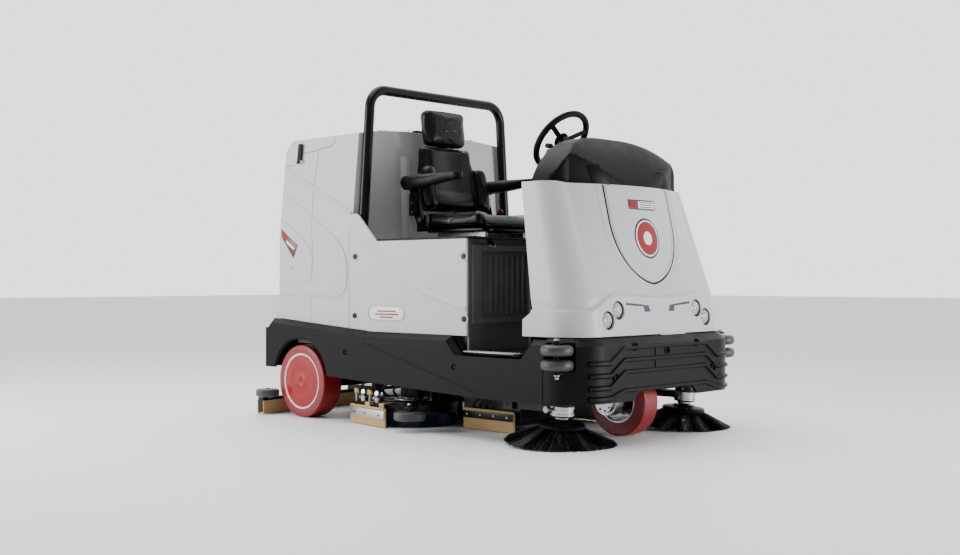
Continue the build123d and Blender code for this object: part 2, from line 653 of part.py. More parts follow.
with BuildPart() as side_panel_right:
    with BuildSketch(side_plane(-BODY_HALF + PANEL_T)):
        with BuildLine():
            Polyline(
                (SEAM_X + GAP, belt_z(SEAM_X) + 3.0),
                (BELT_KINK_X, BELT_Z + 3.0),
                (BOX_FRONT_X, BELT_Z + 3.0),
                (BOX_FRONT_X, DECK_Z - DECK_T),
                (SEAM_X + 220.0, DECK_Z - DECK_T),
                (SEAM_X + 200.0, DECK_Z + 8.0),
                (SEAM_X + 82.0, EAR_Z - 14.0),
                (SEAM_X + 62.0, EAR_Z),
                (SEAM_X + GAP, EAR_Z),
                close=True,
            )
        make_face()
    extrude(amount=PANEL_T)
    front_edge = side_panel_right.edges().filter_by(Axis.Z).sort_by(Axis.X)[-2:].sort_by(Axis.Y)[0]
    fillet(front_edge, 6.0)
    # Shallow pill-shaped recess for a plain plate.
    with BuildSketch(side_plane(-BODY_HALF + 2.5)):
        with Locations((SEAM_X + 299.0, 588.0)):
            SlotOverall(286.0, 80.0)
    extrude(amount=5.0, mode=Mode.SUBTRACT)
    for x, z in FASTENER_XZ:
        with Locations(Location((x, -BODY_HALF, z), (90, 0, 0))):
            Cylinder(6.0, 60.0, mode=Mode.SUBTRACT)
save(side_panel_right.part, "side_panel_right")

with BuildPart() as side_panel_left:
    mirror(side_panel_right.part, about=Plane.XZ)
save(side_panel_left.part, "side_panel_left")

with BuildPart() as panel_fasteners:
    for side in (-1, 1):
        for x, z in FASTENER_XZ:
            with Locations(Location((x, side * (BODY_HALF + 3.0), z), (90, 0, 0))):
                Cylinder(FASTENER_R, 6.0)
            with Locations(Location((x, side * (BODY_HALF - 4.0), z), (90, 0, 0))):
                Cylinder(5.0, 10.0)
            with Locations((x, side * (BODY_HALF + 5.5), z)):
                Box(20.0, 3.0, 3.5, mode=Mode.SUBTRACT)
save(panel_fasteners.part, "panel_fasteners")

DECK_FRONT_X = BOX_FRONT_X + 20.0

with BuildPart() as seat_deck:
    deck_rear_x = TANK_FRONT_X + 4.0
    with Locations(((deck_rear_x + DECK_FRONT_X) / 2, 0, DECK_Z - DECK_T / 2)):
        Box(DECK_FRONT_X - deck_rear_x, 2 * (BODY_HALF - PANEL_T - GAP), DECK_T)
    edge_l = DECK_FRONT_X - SEAM_X - 226.0
    for side in (-1, 1):
        with Locations((DECK_FRONT_X - edge_l / 2, side * (BODY_HALF - 14.0), DECK_Z - DECK_T / 2)):
            Box(edge_l, 28.0, DECK_T)
    fillet(seat_deck.edges().filter_by(Axis.Z).sort_by(Axis.X)[-2:], 24.0)
save(seat_deck.part, "seat_deck")

KICK_X = BOX_FRONT_X - 8.0
KICK_RIB = 8.0

with BuildPart() as kick_panel:
    kick_h = DECK_Z - DECK_T - FLOOR_TOP_Z
    with Locations((KICK_X + 6.0, 0, FLOOR_TOP_Z + kick_h / 2)):
        Box(12.0, 2 * (BODY_HALF - PANEL_T - GAP), kick_h)
    # Raised frame with a ribbed field inside it.
    rib_low, rib_high = 590.0, DECK_Z - 82.0
    for y in (-BODY_HALF + 60.0, BODY_HALF - 60.0):
        with Locations((KICK_X + 18.0, y, (rib_low + rib_high) / 2)):
            Box(14.0, 60.0, rib_high - rib_low + 80.0)
    for z in (rib_low - 26.0, rib_high + 26.0):
        with Locations((KICK_X + 18.0, 0, z)):
            Box(14.0, 2 * BODY_HALF - 90.0, 28.0)
    rib_count = 26
    rib_pitch = (2 * BODY_HALF - 200.0) / rib_count
    for i in range(rib_count):
        with Locations((KICK_X + 15.5, (i - (rib_count - 1) / 2) * rib_pitch, (rib_low + rib_high) / 2)):
            Box(9.0, 14.0, rib_high - rib_low - 10.0)
save(kick_panel.part, "kick_panel")

BATTERY_L = (KICK_X - 12.0 - (POST_X + 78.0)) / 2 - 5.0
BATTERY_W = 365.0
BATTERY_H = 380.0

with BuildPart() as battery_pack:
    battery_x0 = POST_X + 78.0
    for i in range(2):
        for side in (-1, 1):
            x = battery_x0 + BATTERY_L / 2 + i * (BATTERY_L + 10.0)
            with Locations((x, side * (BATTERY_W / 2 + 4.0), FRAME_TOP_Z + BATTERY_H / 2)):
                Box(BATTERY_L, BATTERY_W, BATTERY_H)
            for post_x in (-90.0, 90.0):
                with Locations((x + post_x, side * (BATTERY_W / 2 + 4.0), FRAME_TOP_Z + BATTERY_H + 8.0)):
                    Cylinder(9.0, 18.0)
save(battery_pack.part, "battery_pack")

with BuildPart() as vacuum_motor:
    with Locations((POST_X - 10.0, 0, FRAME_TOP_Z + 6.0)):
        Cylinder(68.0, 12.0)
    with Locations((POST_X - 10.0, 0, FRAME_TOP_Z + 90.0)):
        Cylinder(62.0, 160.0)
    with Locations((POST_X - 10.0, 0, FRAME_TOP_Z + 190.0)):
        Cylinder(34.0, 44.0)
save(vacuum_motor.part, "vacuum_motor")

# ==============================================================================================
# Guard hoop
# ==============================================================================================
HOOP_R = 27.0
HOOP_FOOT_Y = BODY_HALF - 48.0
HOOP_SHOULDER_Y = HOOP_FOOT_Y - 58.0

with BuildPart() as guard_hoop:
    with BuildLine() as hoop_path:
        FilletPolyline(
            (HOOP_X, -HOOP_FOOT_Y, DECK_Z + 2.0),
            (HOOP_X, -HOOP_SHOULDER_Y, HOOP_TOP_Z - HOOP_R),
            (HOOP_X, HOOP_SHOULDER_Y, HOOP_TOP_Z - HOOP_R),
            (HOOP_X, HOOP_FOOT_Y, DECK_Z + 2.0),
            radius=105.0,
        )
    with BuildSketch(Plane(origin=hoop_path.line @ 0, z_dir=hoop_path.line % 0)):
        Circle(HOOP_R)
    sweep()
    for side in (-1, 1):
        with Locations((HOOP_X, side * HOOP_FOOT_Y, DECK_Z + 5.0)):
            Box(62.0, 70.0, 10.0)
        with Locations((HOOP_X, side * HOOP_FOOT_Y, DECK_Z - 40.0)):
            Box(200.0, 200.0, 80.0, mode=Mode.SUBTRACT)
save(guard_hoop.part, "guard_hoop")

# ==============================================================================================
# Front cowl, hood, console, lamps
# ==============================================================================================
COWL_LEVELS = (
    # height, centre front X, half width, corner radius, bow
    (COWL_Z, DRIVE_AXLE_X + 213.0, BODY_HALF - 10.0, 150.0, 5.0),
    (COWL_LIP_Z, DRIVE_AXLE_X + 196.0, BODY_HALF - 12.0, 146.0, 10.0),
    (COWL_TOP_Z, DRIVE_AXLE_X + 101.0, BODY_HALF - 65.0, 105.0, 96.0),
)


def cowl_block(inset, stretch):
    """The cowl's outer form drawn in by inset; stretch lengthens it at both ends."""
    with BuildPart() as block:
        for low, high in zip(COWL_LEVELS[:-1], COWL_LEVELS[1:]):
            for z, front_x, half, corner_r, bow in (low, high):
                with BuildSketch(Plane.XY.offset(z)):
                    add(
                        nose_outline(
                            COWL_REAR_X - 30.0 - stretch,
                            front_x - inset,
                            half - inset,
                            corner_r - inset,
                            bow,
                        )
                    )
            loft(ruled=True)
        if stretch:
            for (z, front_x, half, corner_r, bow), depth in (
                (COWL_LEVELS[0], -stretch),
                (COWL_LEVELS[-1], stretch),
            ):
                with BuildSketch(Plane.XY.offset(z)):
                    add(
                        nose_outline(
                            COWL_REAR_X - 30.0 - stretch,
                            front_x - inset,
                            half - inset,
                            corner_r - inset,
                            bow,
                        )
                    )
                extrude(amount=depth)
    return block.part


LAMPS = (
    # Y, Z, centre X of the lens face
    (394.0, 577.0, DRIVE_AXLE_X + 204.0),
    (315.0, 622.0, DRIVE_AXLE_X + 201.0),
)
cowl_inside = cowl_block(COWL_T, 20.0)

with BuildPart() as front_cowl:
    add(cowl_block(0.0, 0.0))
    add(cowl_inside, mode=Mode.SUBTRACT)
    # The rear edge leans forward from the top and has a foot at the bottom.
    with BuildSketch(Plane.XZ):
        with BuildLine():
            Polyline(
                (COWL_REAR_X - 100.0, COWL_Z - 10.0),
                (COWL_REAR_X + 65.0, COWL_Z - 10.0),
                (COWL_REAR_X + 65.0, COWL_Z + 76.0),
                (COWL_REAR_X + 116.0, COWL_Z + 110.0),
                (COWL_REAR_X - 4.0, COWL_TOP_Z + 10.0),
                (COWL_REAR_X - 100.0, COWL_TOP_Z + 10.0),
                close=True,
            )
        make_face()
    extrude(amount=BODY_HALF + 20.0, both=True, mode=Mode.SUBTRACT)
    for y, z, x in LAMPS:
        for side in (-1, 1):
            with Locations(Location((x, side * y, z), (0, 90, 0))):
                Cylinder(LAMP_R + 2.0, 90.0, mode=Mode.SUBTRACT)
save(front_cowl.part, "front_cowl")

with BuildPart() as headlights:
    for y, z, x in LAMPS:
        for side in (-1, 1):
            with Locations(Location((x - 22.0, side * y, z), (0, 90, 0))):
                Cylinder(LAMP_R, 44.0)
    fillet(headlights.faces().filter_by(Axis.X).group_by(Axis.X)[-1].edges(), 6.0)
    for y, z, x in LAMPS:
        for side in (-1, 1):
            with Locations(Location((x - 42.0, side * y, z), (0, 90, 0))):
                Cylinder(LAMP_R - 6.0, 36.0)
save(headlights.part, "headlights")

HOOD_REAR_X = COWL_REAR_X + 10.0
HOOD_HALF = BODY_HALF - 75.0


def hood_block(inset, low_z):
    """The hood's outer form: side profile, front profile and plan, all drawn in by inset."""
    front_x = COWL_LEVELS[-1][1] - COWL_T - 3.0
    with BuildPart() as block:
        with BuildSketch(Plane.XZ):
            with BuildLine():
                base = Line((HOOD_REAR_X, low_z), (front_x - inset, low_z))
                rise = Line(base @ 1, (front_x - inset, COWL_TOP_Z + 6.0))
                brow = Spline(
                    rise @ 1,
                    (front_x - 78.0 - inset, COWL_TOP_Z + 150.0 - inset),
                    (front_x - 185.0 - inset, HOOD_TOP_Z - inset),
                )
                ridge = Line(brow @ 1, (HOOD_REAR_X, HOOD_TOP_Z - 8.0 - inset))
                Line(ridge @ 1, base @ 0)
            make_face()
        extrude(amount=BODY_HALF, both=True)
        with BuildSketch(Plane.YZ.offset(HOOD_REAR_X - 20.0)):
            half = HOOD_HALF - inset
            with BuildLine():
                low = Line((-half, low_z - 5.0), (-half, COWL_TOP_Z + 4.0))
                dome = Spline(
                    low @ 1,
                    (-half + 84.0, COWL_TOP_Z + 158.0 - inset),
                    (-half + 196.0, HOOD_TOP_Z - 38.0 - inset),
                    (0, HOOD_TOP_Z + 1.0 - inset),
                    (half - 196.0, HOOD_TOP_Z - 38.0 - inset),
                    (half - 84.0, COWL_TOP_Z + 158.0 - inset),
                    (half, COWL_TOP_Z + 4.0),
                )
                side_low = Line(dome @ 1, (half, low_z - 5.0))
                Line(side_low @ 1, low @ 0)
            make_face()
        extrude(amount=600.0, mode=Mode.INTERSECT)
        with BuildSketch(Plane.XY.offset(low_z - 10.0)):
            add(nose_outline(HOOD_REAR_X - 10.0, front_x - inset, HOOD_HALF - inset, 95.0 - inset, 96.0))
        extrude(amount=HOOD_TOP_Z, mode=Mode.INTERSECT)
    return block.part


HOOD_LOW_Z = COWL_TOP_Z - 30.0

with BuildPart() as dash_hood:
    add(hood_block(0.0, HOOD_LOW_Z))
    add(hood_block(HOOD_T, HOOD_LOW_Z - 20.0), mode=Mode.SUBTRACT)
    with Locations((HOOD_REAR_X, 0, COWL_TOP_Z)):
        Box(8.0, 2 * BODY_HALF, 800.0, mode=Mode.SUBTRACT)
save(dash_hood.part, "dash_hood")

CONSOLE_X = COWL_REAR_X + 20.0
CONSOLE_T = 14.0
BROW = (CONSOLE_X - 95.0, 1290.0)
BROW_TOP = (CONSOLE_X - 18.0, 1405.0)
BROW_SLOPE = atan2(BROW_TOP[1] - BROW[1], BROW_TOP[0] - BROW[0])
STOP_SHAFT_R = 9.0
stop_plane = Plane(
    origin=((BROW[0] * 0.6 + BROW_TOP[0] * 0.4), -230.0, (BROW[1] * 0.6 + BROW_TOP[1] * 0.4)),
    x_dir=(0, 1, 0),
    z_dir=(-sin(BROW_SLOPE), 0, cos(BROW_SLOPE)),
)
TILT = radians(WHEEL_TILT)
wheel_plane = Plane(origin=(WHEEL_X, 0, WHEEL_Z), x_dir=(0, 1, 0), z_dir=(-sin(TILT), 0, cos(TILT)))

with BuildPart() as dash_console:
    console_half = BODY_HALF - 100.0
    with BuildSketch(Plane.XZ):
        with BuildLine():
            Polyline(
                (CONSOLE_X, FLOOR_TOP_Z),
                (CONSOLE_X, 1050.0),
                (CONSOLE_X - 70.0, 1170.0),
                BROW,
                BROW_TOP,
                (CONSOLE_X - 6.0, 1397.0),
                (CONSOLE_X - 78.0, 1288.0),
                (CONSOLE_X - 56.0, 1175.0),
                (CONSOLE_X + CONSOLE_T, 1056.0),
                (CONSOLE_X + CONSOLE_T, FLOOR_TOP_Z),
                close=True,
            )
        make_face()
    extrude(amount=console_half - 120.0, both=True)
    for side in (-1, 1):
        with Locations((CONSOLE_X + CONSOLE_T / 2, side * (console_half - 60.0), 750.0)):
            Box(CONSOLE_T, 140.0, 2 * (750.0 - FLOOR_TOP_Z))
    # Bores for the steering column and the stop button.
    with Locations(wheel_plane):
        with Locations((0, 0, -210.0)):
            Cylinder(COLUMN_R + 10.0, 120.0, mode=Mode.SUBTRACT)
    with Locations(stop_plane):
        Cylinder(STOP_SHAFT_R + RUN, 60.0, mode=Mode.SUBTRACT)
save(dash_console.part, "dash_console")

# ==============================================================================================
# Steering wheel, column, stalk, pedals, stop button
# ==============================================================================================
STALK_DROP = 74.0
HUB_R = 32.0
SHAFT_END = 24.0
STALK_PIN_X = -COLUMN_R - 17.0

with BuildPart(wheel_plane) as steering_wheel:
    Torus(WHEEL_RIM_R, WHEEL_RIM_TUBE_R)
    with Locations((0, 0, -18.0)):
        Cylinder(HUB_R, 44.0)
    for angle in (90, 210, 330):
        with Locations(Location((0, 0, -10.0), (0, 0, angle))):
            with Locations((WHEEL_RIM_R / 2 + 8.0, 0, 0)):
                Box(WHEEL_RIM_R - 26.0, 26.0, 8.0)
    with Locations((0, 0, -SHAFT_END - 20.0)):
        Cylinder(10.0 + RUN, 40.0, mode=Mode.SUBTRACT)
save(steering_wheel.part, "steering_wheel")

with BuildPart(wheel_plane) as steering_column:
    with Locations((0, 0, -41.0 - 135.0)):
        Cylinder(COLUMN_R, 270.0)
    with Locations((0, 0, -SHAFT_END - 21.0)):
        Cylinder(10.0, 38.0)
    with Locations((0, 0, -210.0)):
        Cylinder(COLUMN_R + 10.0, 120.0)
    # Switch box with a slot and pin for the stalk.
    with Locations((-12.0, 0, -STALK_DROP)):
        Box(2 * COLUMN_R + 38.0, 2 * COLUMN_R + 10.0, 32.0)
    with Locations((STALK_PIN_X - 4.0, 0, -STALK_DROP)):
        Box(30.0, 44.0, 18.0, mode=Mode.SUBTRACT)
    with Locations((STALK_PIN_X, 0, -STALK_DROP)):
        Cylinder(3.0, 30.0)
save(steering_column.part, "steering_column")

with BuildPart(wheel_plane) as direction_stalk:
    with Locations((STALK_PIN_X, 0, -STALK_DROP)):
        Cylinder(8.0, 15.0)
    with Locations(Location((STALK_PIN_X - 58.0, 0, -STALK_DROP), (0, 90, 0))):
        Cylinder(5.0, 104.0)
    with Locations(Location((STALK_PIN_X - 122.0, 0, -STALK_DROP), (0, 90, 0))):
        Cylinder(13.0, 34.0)
    with Locations((STALK_PIN_X, 0, -STALK_DROP)):
        Cylinder(3.0 + RUN, 30.0, mode=Mode.SUBTRACT)
save(direction_stalk.part, "direction_stalk")

PEDAL_X = CONSOLE_X - 150.0
PEDAL_Z = FLOOR_TOP_Z + 12.0

with BuildPart() as floor_pan:
    pan_rear_x = KICK_X - 4.0
    pan_front_x = DRIVE_AXLE_X - 155.0
    with Locations(((pan_rear_x + pan_front_x) / 2, 0, FLOOR_TOP_Z - PLATE_T / 2 + 3.0)):
        Box(pan_front_x - pan_rear_x, 2 * (BODY_HALF + 2.0), PLATE_T - 6.0)
    with Locations(((pan_rear_x + pan_front_x) / 2, 0, FLOOR_TOP_Z - PLATE_T / 2)):
        Box(pan_front_x - pan_rear_x, 2 * (BODY_HALF - 20.0), PLATE_T)
    # Turntable plate for the drive fork, level with the pan.
    plate_rear_x = pan_front_x - 10.0
    plate_front_x = DRIVE_AXLE_X + 177.0
    with Locations(((plate_rear_x + plate_front_x) / 2, 0, PLATE_BOTTOM_Z + PLATE_T / 2)):
        Box(plate_front_x - plate_rear_x, 2 * RAIL_Y + RAIL_W + 20.0, PLATE_T)
    with Locations((DRIVE_AXLE_X, 0, PLATE_BOTTOM_Z + PLATE_T / 2)):
        Cylinder(KINGPIN_R + RUN, PLATE_T * 2, mode=Mode.SUBTRACT)
    # Front beam that the bumper bolts to.
    with Locations((DRIVE_AXLE_X + 165.0, 0, PLATE_BOTTOM_Z - 18.0)):
        Box(40.0, 2 * 470.0, 44.0)
    # Pedal brackets with their pins.
    for y in (-120.0, 120.0):
        for offset in (-24.0, 24.0):
            with Locations((PEDAL_X, y + offset, PEDAL_Z)):
                Box(22.0, 6.0, 28.0)
        with Locations(Location((PEDAL_X, y, PEDAL_Z), (90, 0, 0))):
            Cylinder(4.0, 52.0)
save(floor_pan.part, "floor_pan")

for name, y in (("accelerator_pedal", -120.0), ("brake_pedal", 120.0)):
    with BuildPart() as pedal:
        with Locations(Location((PEDAL_X, y, PEDAL_Z), (0, -42, 0))):
            with Locations((70.0, 0, 4.0)):
                Box(150.0, 38.0, 7.0)
            with Locations((84.0, 0, 4.0)):
                Box(118.0, 74.0, 7.0)
        with Locations(Location((PEDAL_X, y, PEDAL_Z), (90, 0, 0))):
            Cylinder(9.0, 38.0)
            Cylinder(4.0 + RUN, 60.0, mode=Mode.SUBTRACT)
    save(pedal.part, name)

with BuildPart(stop_plane) as stop_button:
    with Locations((0, 0, -4.0)):
        Cylinder(STOP_SHAFT_R, 26.0)
    with Locations((0, 0, 15.0)):
        Cylinder(20.0, 12.0)
save(stop_button.part, "stop_button")

# ==============================================================================================
# Seat
# ==============================================================================================
RAIL_TOP_Z = CUSHION_Z - 14.0

with BuildPart() as seat_rails:
    for side in (-1, 1):
        with Locations((SEAT_X - 10.0, side * 150.0, DECK_Z + 4.0)):
            Box(380.0, 60.0, 8.0)
        with Locations((SEAT_X - 10.0, side * 150.0, (DECK_Z + RAIL_TOP_Z) / 2)):
            Box(360.0, 22.0, RAIL_TOP_Z - DECK_Z)
save(seat_rails.part, "seat_rails")

BACK_LEAN = 9.0
BACK_HINGE_X = SEAT_X - 205.0
BACK_HINGE_Z = 1085.0
BACK_LOW_Z = 1140.0
BACK_TOP_Z = 1500.0
HINGE_PLATE_Y = 262.0
BOLT_R = 10.0

with BuildPart() as seat_cushion:
    # Pan with sliders over the rails, then the cushion, then the side plates of the hinge.
    with Locations((SEAT_X, 0, CUSHION_Z - 6.0)):
        Box(CUSHION_L - 60.0, CUSHION_W - 60.0, 12.0)
    with Locations((SEAT_X, 0, CUSHION_Z + CUSHION_H / 2)):
        Box(CUSHION_L, CUSHION_W, CUSHION_H)
    fillet(seat_cushion.edges().filter_by(Axis.Z).group_by(SortBy.LENGTH)[-1], 60.0)
    for side in (-1, 1):
        with Locations((BACK_HINGE_X + 10.0, side * HINGE_PLATE_Y, (CUSHION_Z + BACK_HINGE_Z + 26.0) / 2)):
            Box(90.0, 8.0, BACK_HINGE_Z - CUSHION_Z + 26.0)
        with Locations((BACK_HINGE_X + 10.0, side * (HINGE_PLATE_Y - 26.0), CUSHION_Z - 4.0)):
            Box(90.0, 60.0, 8.0)
        with Locations(Location((BACK_HINGE_X, side * (HINGE_PLATE_Y + 10.0), BACK_HINGE_Z), (90, 0, 0))):
            Cylinder(BOLT_R, 20.0)
save(seat_cushion.part, "seat_cushion")

ARM_Y = 306.0
ARM_X = BACK_HINGE_X - 70.0
ARM_Z = 1286.0
ARM_PIN_R = 9.0


def back_x(z, depth):
    """X of a point of the leaning backrest at height z, depth in front of its rear face."""
    return BACK_HINGE_X - 95.0 + depth - (z - BACK_LOW_Z) * tan(radians(BACK_LEAN))


with BuildPart() as seat_backrest:
    with BuildSketch(side_plane(215.0)):
        with BuildLine():
            Polyline(
                (back_x(BACK_LOW_Z, 0), BACK_LOW_Z),
                (back_x(BACK_LOW_Z, 100.0), BACK_LOW_Z),
                (back_x(BACK_TOP_Z, 85.0), BACK_TOP_Z),
                (back_x(BACK_TOP_Z, 10.0), BACK_TOP_Z),
                close=True,
            )
        make_face()
    extrude(amount=430.0)
    fillet(seat_backrest.edges().filter_by(Axis.X, tolerance=12), 40.0)
    # Side bolsters.
    for side in (-1, 1):
        with BuildSketch(side_plane(side * 215.0 + 25.0)):
            with BuildLine():
                Polyline(
                    (back_x(BACK_LOW_Z + 10.0, 60.0), BACK_LOW_Z + 10.0),
                    (back_x(BACK_LOW_Z + 10.0, 150.0), BACK_LOW_Z + 10.0),
                    (back_x(BACK_LOW_Z + 190.0, 138.0), BACK_LOW_Z + 190.0),
                    (back_x(BACK_LOW_Z + 250.0, 80.0), BACK_LOW_Z + 250.0),
                    close=True,
                )
            make_face()
        extrude(amount=50.0)
    # Hinge arms down to the seat and the pins of the armrests.
    for side in (-1, 1):
        arm_y = side * (HINGE_PLATE_Y + 12.0)
        with BuildSketch(side_plane(arm_y + 4.0)):
            with BuildLine():
                Polyline(
                    (BACK_HINGE_X - 26.0, BACK_HINGE_Z - 24.0),
                    (BACK_HINGE_X + 26.0, BACK_HINGE_Z - 24.0),
                    (BACK_HINGE_X + 26.0, BACK_HINGE_Z + 20.0),
                    (ARM_X + 32.0, ARM_Z + 26.0),
                    (ARM_X - 32.0, ARM_Z + 26.0),
                    (BACK_HINGE_X - 50.0, BACK_HINGE_Z + 30.0),
                    close=True,
                )
            make_face()
        extrude(amount=8.0)
        with Locations((back_x(1240.0, 30.0), side * 245.0, 1240.0)):
            Box(50.0, 66.0, 40.0)
        with Locations(Location((ARM_X, side * (ARM_Y - 13.0), ARM_Z), (90, 0, 0))):
            Cylinder(ARM_PIN_R, 36.0)
        with Locations(Location((BACK_HINGE_X, arm_y, BACK_HINGE_Z), (90, 0, 0))):
            Cylinder(BOLT_R + RUN, 20.0, mode=Mode.SUBTRACT)
    # Bores for the headrest's posts.
    for side in (-1, 1):
        with Locations((back_x(BACK_TOP_Z, 48.0), side * 70.0, BACK_TOP_Z - 60.0)):
            Cylinder(7.0 + RUN, 160.0, mode=Mode.SUBTRACT)
save(seat_backrest.part, "seat_backrest")

HEAD_X = back_x(BACK_TOP_Z, 48.0)

with BuildPart() as headrest:
    with Locations((HEAD_X + 2.0, 0, 1610.0)):
        Box(84.0, 300.0, 196.0)
    fillet(headrest.edges().filter_by(Axis.X), 40.0)
    fillet(headrest.faces().sort_by(Axis.X)[-1].edges(), 18.0)
    for side in (-1, 1):
        with Locations((HEAD_X, side * 70.0, 1478.0)):
            Cylinder(7.0, 96.0)
save(headrest.part, "headrest")

for name, side in SIDES:
    with BuildPart() as armrest:
        with Locations((ARM_X + 200.0, side * ARM_Y, ARM_Z + 18.0)):
            Box(420.0, 50.0, 44.0)
        fillet(armrest.edges(), 16.0)
        with Locations(Location((ARM_X, side * ARM_Y, ARM_Z), (90, 0, 0))):
            Cylinder(32.0, 40.0)
        with Locations(Location((ARM_X, side * (ARM_Y - 13.0), ARM_Z), (90, 0, 0))):
            Cylinder(ARM_PIN_R + RUN, 36.4, mode=Mode.SUBTRACT)
    save(armrest.part, f"armrest_{name}")

# ==============================================================================================
# Drive wheel, fork and motor
# ==============================================================================================
FORK_Y = DRIVE_WHEEL_W / 2 + 20.0
CROWN_TOP_Z = PLATE_BOTTOM_Z - 3.0

with BuildPart() as drive_fork:
    with Locations((DRIVE_AXLE_X, 0, CROWN_TOP_Z - 10.0)):
        Cylinder(112.0, 20.0)
    with Locations((DRIVE_AXLE_X, 0, CROWN_TOP_Z + 20.0)):
        Cylinder(KINGPIN_R, 56.0)
    for side in (-1, 1):
        cheek_h = CROWN_TOP_Z - 10.0 - DRIVE_WHEEL_R + 40.0
        with Locations((DRIVE_AXLE_X, side * FORK_Y, CROWN_TOP_Z - 10.0 - cheek_h / 2)):
            Box(90.0, 14.0, cheek_h)
    with Locations(Location((DRIVE_AXLE_X, 0, DRIVE_WHEEL_R), (90, 0, 0))):
        Cylinder(AXLE_R, 2 * FORK_Y)
save(drive_fork.part, "drive_fork")

with BuildPart() as drive_motor:
    with Locations(Location((DRIVE_AXLE_X, -FORK_Y - 7.0 - 30.0, DRIVE_WHEEL_R), (90, 0, 0))):
        Cylinder(64.0, 60.0)
    with Locations(Location((DRIVE_AXLE_X, -FORK_Y - 7.0 - 67.0, DRIVE_WHEEL_R), (90, 0, 0))):
        Cylinder(50.0, 14.0)
    with Locations((DRIVE_AXLE_X, -FORK_Y - 40.0, DRIVE_WHEEL_R + 66.0)):
        Box(46.0, 40.0, 26.0)
save(drive_motor.part, "drive_motor")

with BuildPart() as drive_wheel:
    with BuildSketch(Plane(origin=(DRIVE_AXLE_X, 0, DRIVE_WHEEL_R), x_dir=(1, 0, 0), z_dir=(0, -1, 0))):
        Circle(DRIVE_WHEEL_R)
        Circle(AXLE_R + RUN, mode=Mode.SUBTRACT)
    extrude(amount=DRIVE_WHEEL_W / 2, both=True)
    fillet(drive_wheel.edges().filter_by(GeomType.CIRCLE).sort_by(SortBy.RADIUS)[-2:], 9.0)
    for side in (-1, 1):
        with Locations(Location((DRIVE_AXLE_X, side * DRIVE_WHEEL_W / 2, DRIVE_WHEEL_R), (90, 0, 0))):
            Cylinder(96.0, 24.0, mode=Mode.SUBTRACT)
        hub_y = side * (DRIVE_WHEEL_W / 2 - 6.0)
        with Locations(Location((DRIVE_AXLE_X, hub_y, DRIVE_WHEEL_R), (90, 0, 0))):
            Cylinder(44.0, 16.0)
            Cylinder(AXLE_R + RUN, 40.0, mode=Mode.SUBTRACT)
save(drive_wheel.part, "drive_wheel")

# ==============================================================================================
# Rear wheels
# ==============================================================================================
for name, side in SIDES:
    with BuildPart() as rear_wheel:
        with Locations(Location((REAR_AXLE_X, side * REAR_WHEEL_Y, REAR_WHEEL_R), (90, 0, 0))):
            Cylinder(REAR_WHEEL_R, REAR_WHEEL_W)
        fillet(rear_wheel.edges().filter_by(GeomType.CIRCLE), 8.0)
        outer_y = side * (REAR_WHEEL_Y + REAR_WHEEL_W / 2)
        with Locations(Location((REAR_AXLE_X, outer_y, REAR_WHEEL_R), (90, 0, 0))):
            Cylinder(148.0, 8.0, mode=Mode.SUBTRACT)
        inner_y = side * (REAR_WHEEL_Y - REAR_WHEEL_W / 2)
        with Locations(Location((REAR_AXLE_X, inner_y, REAR_WHEEL_R), (90, 0, 0))):
            Cylinder(120.0, 60.0, mode=Mode.SUBTRACT)
        bore_l = REAR_WHEEL_W - 16.0
        with Locations(Location((REAR_AXLE_X, inner_y + side * bore_l / 2, REAR_WHEEL_R), (90, 0, 0))):
            Cylinder(40.0, bore_l)
            Cylinder(AXLE_R + RUN, bore_l, mode=Mode.SUBTRACT)
    save(rear_wheel.part, f"rear_wheel_{name}")

# ==============================================================================================
# Scrub deck
# ==============================================================================================
DISC_CENTRES = {
    "right": (DISC_X, -DISC_Y),
    "left": (DISC_X, DISC_Y),
    "centre": (DISC_MID_X, 0.0),
}
COVER_R = DISC_R + 4.0
PLATE_TOP_Z = DECK_PLATE_Z + DECK_PLATE_T
BLADE_FRONT = (DISC_X + 95.0, DISC_Y + 284.0)
BLADE_REAR = (DISC_X - 252.0, DISC_Y + 222.0)
blade_l = sqrt((BLADE_FRONT[0] - BLADE_REAR[0]) ** 2 + (BLADE_FRONT[1] - BLADE_REAR[1]) ** 2)
blade_turn = degrees(atan2(BLADE_FRONT[1] - BLADE_REAR[1], BLADE_FRONT[0] - BLADE_REAR[0]))
blade_mid = ((BLADE_FRONT[0] + BLADE_REAR[0]) / 2, (BLADE_FRONT[1] + BLADE_REAR[1]) / 2)

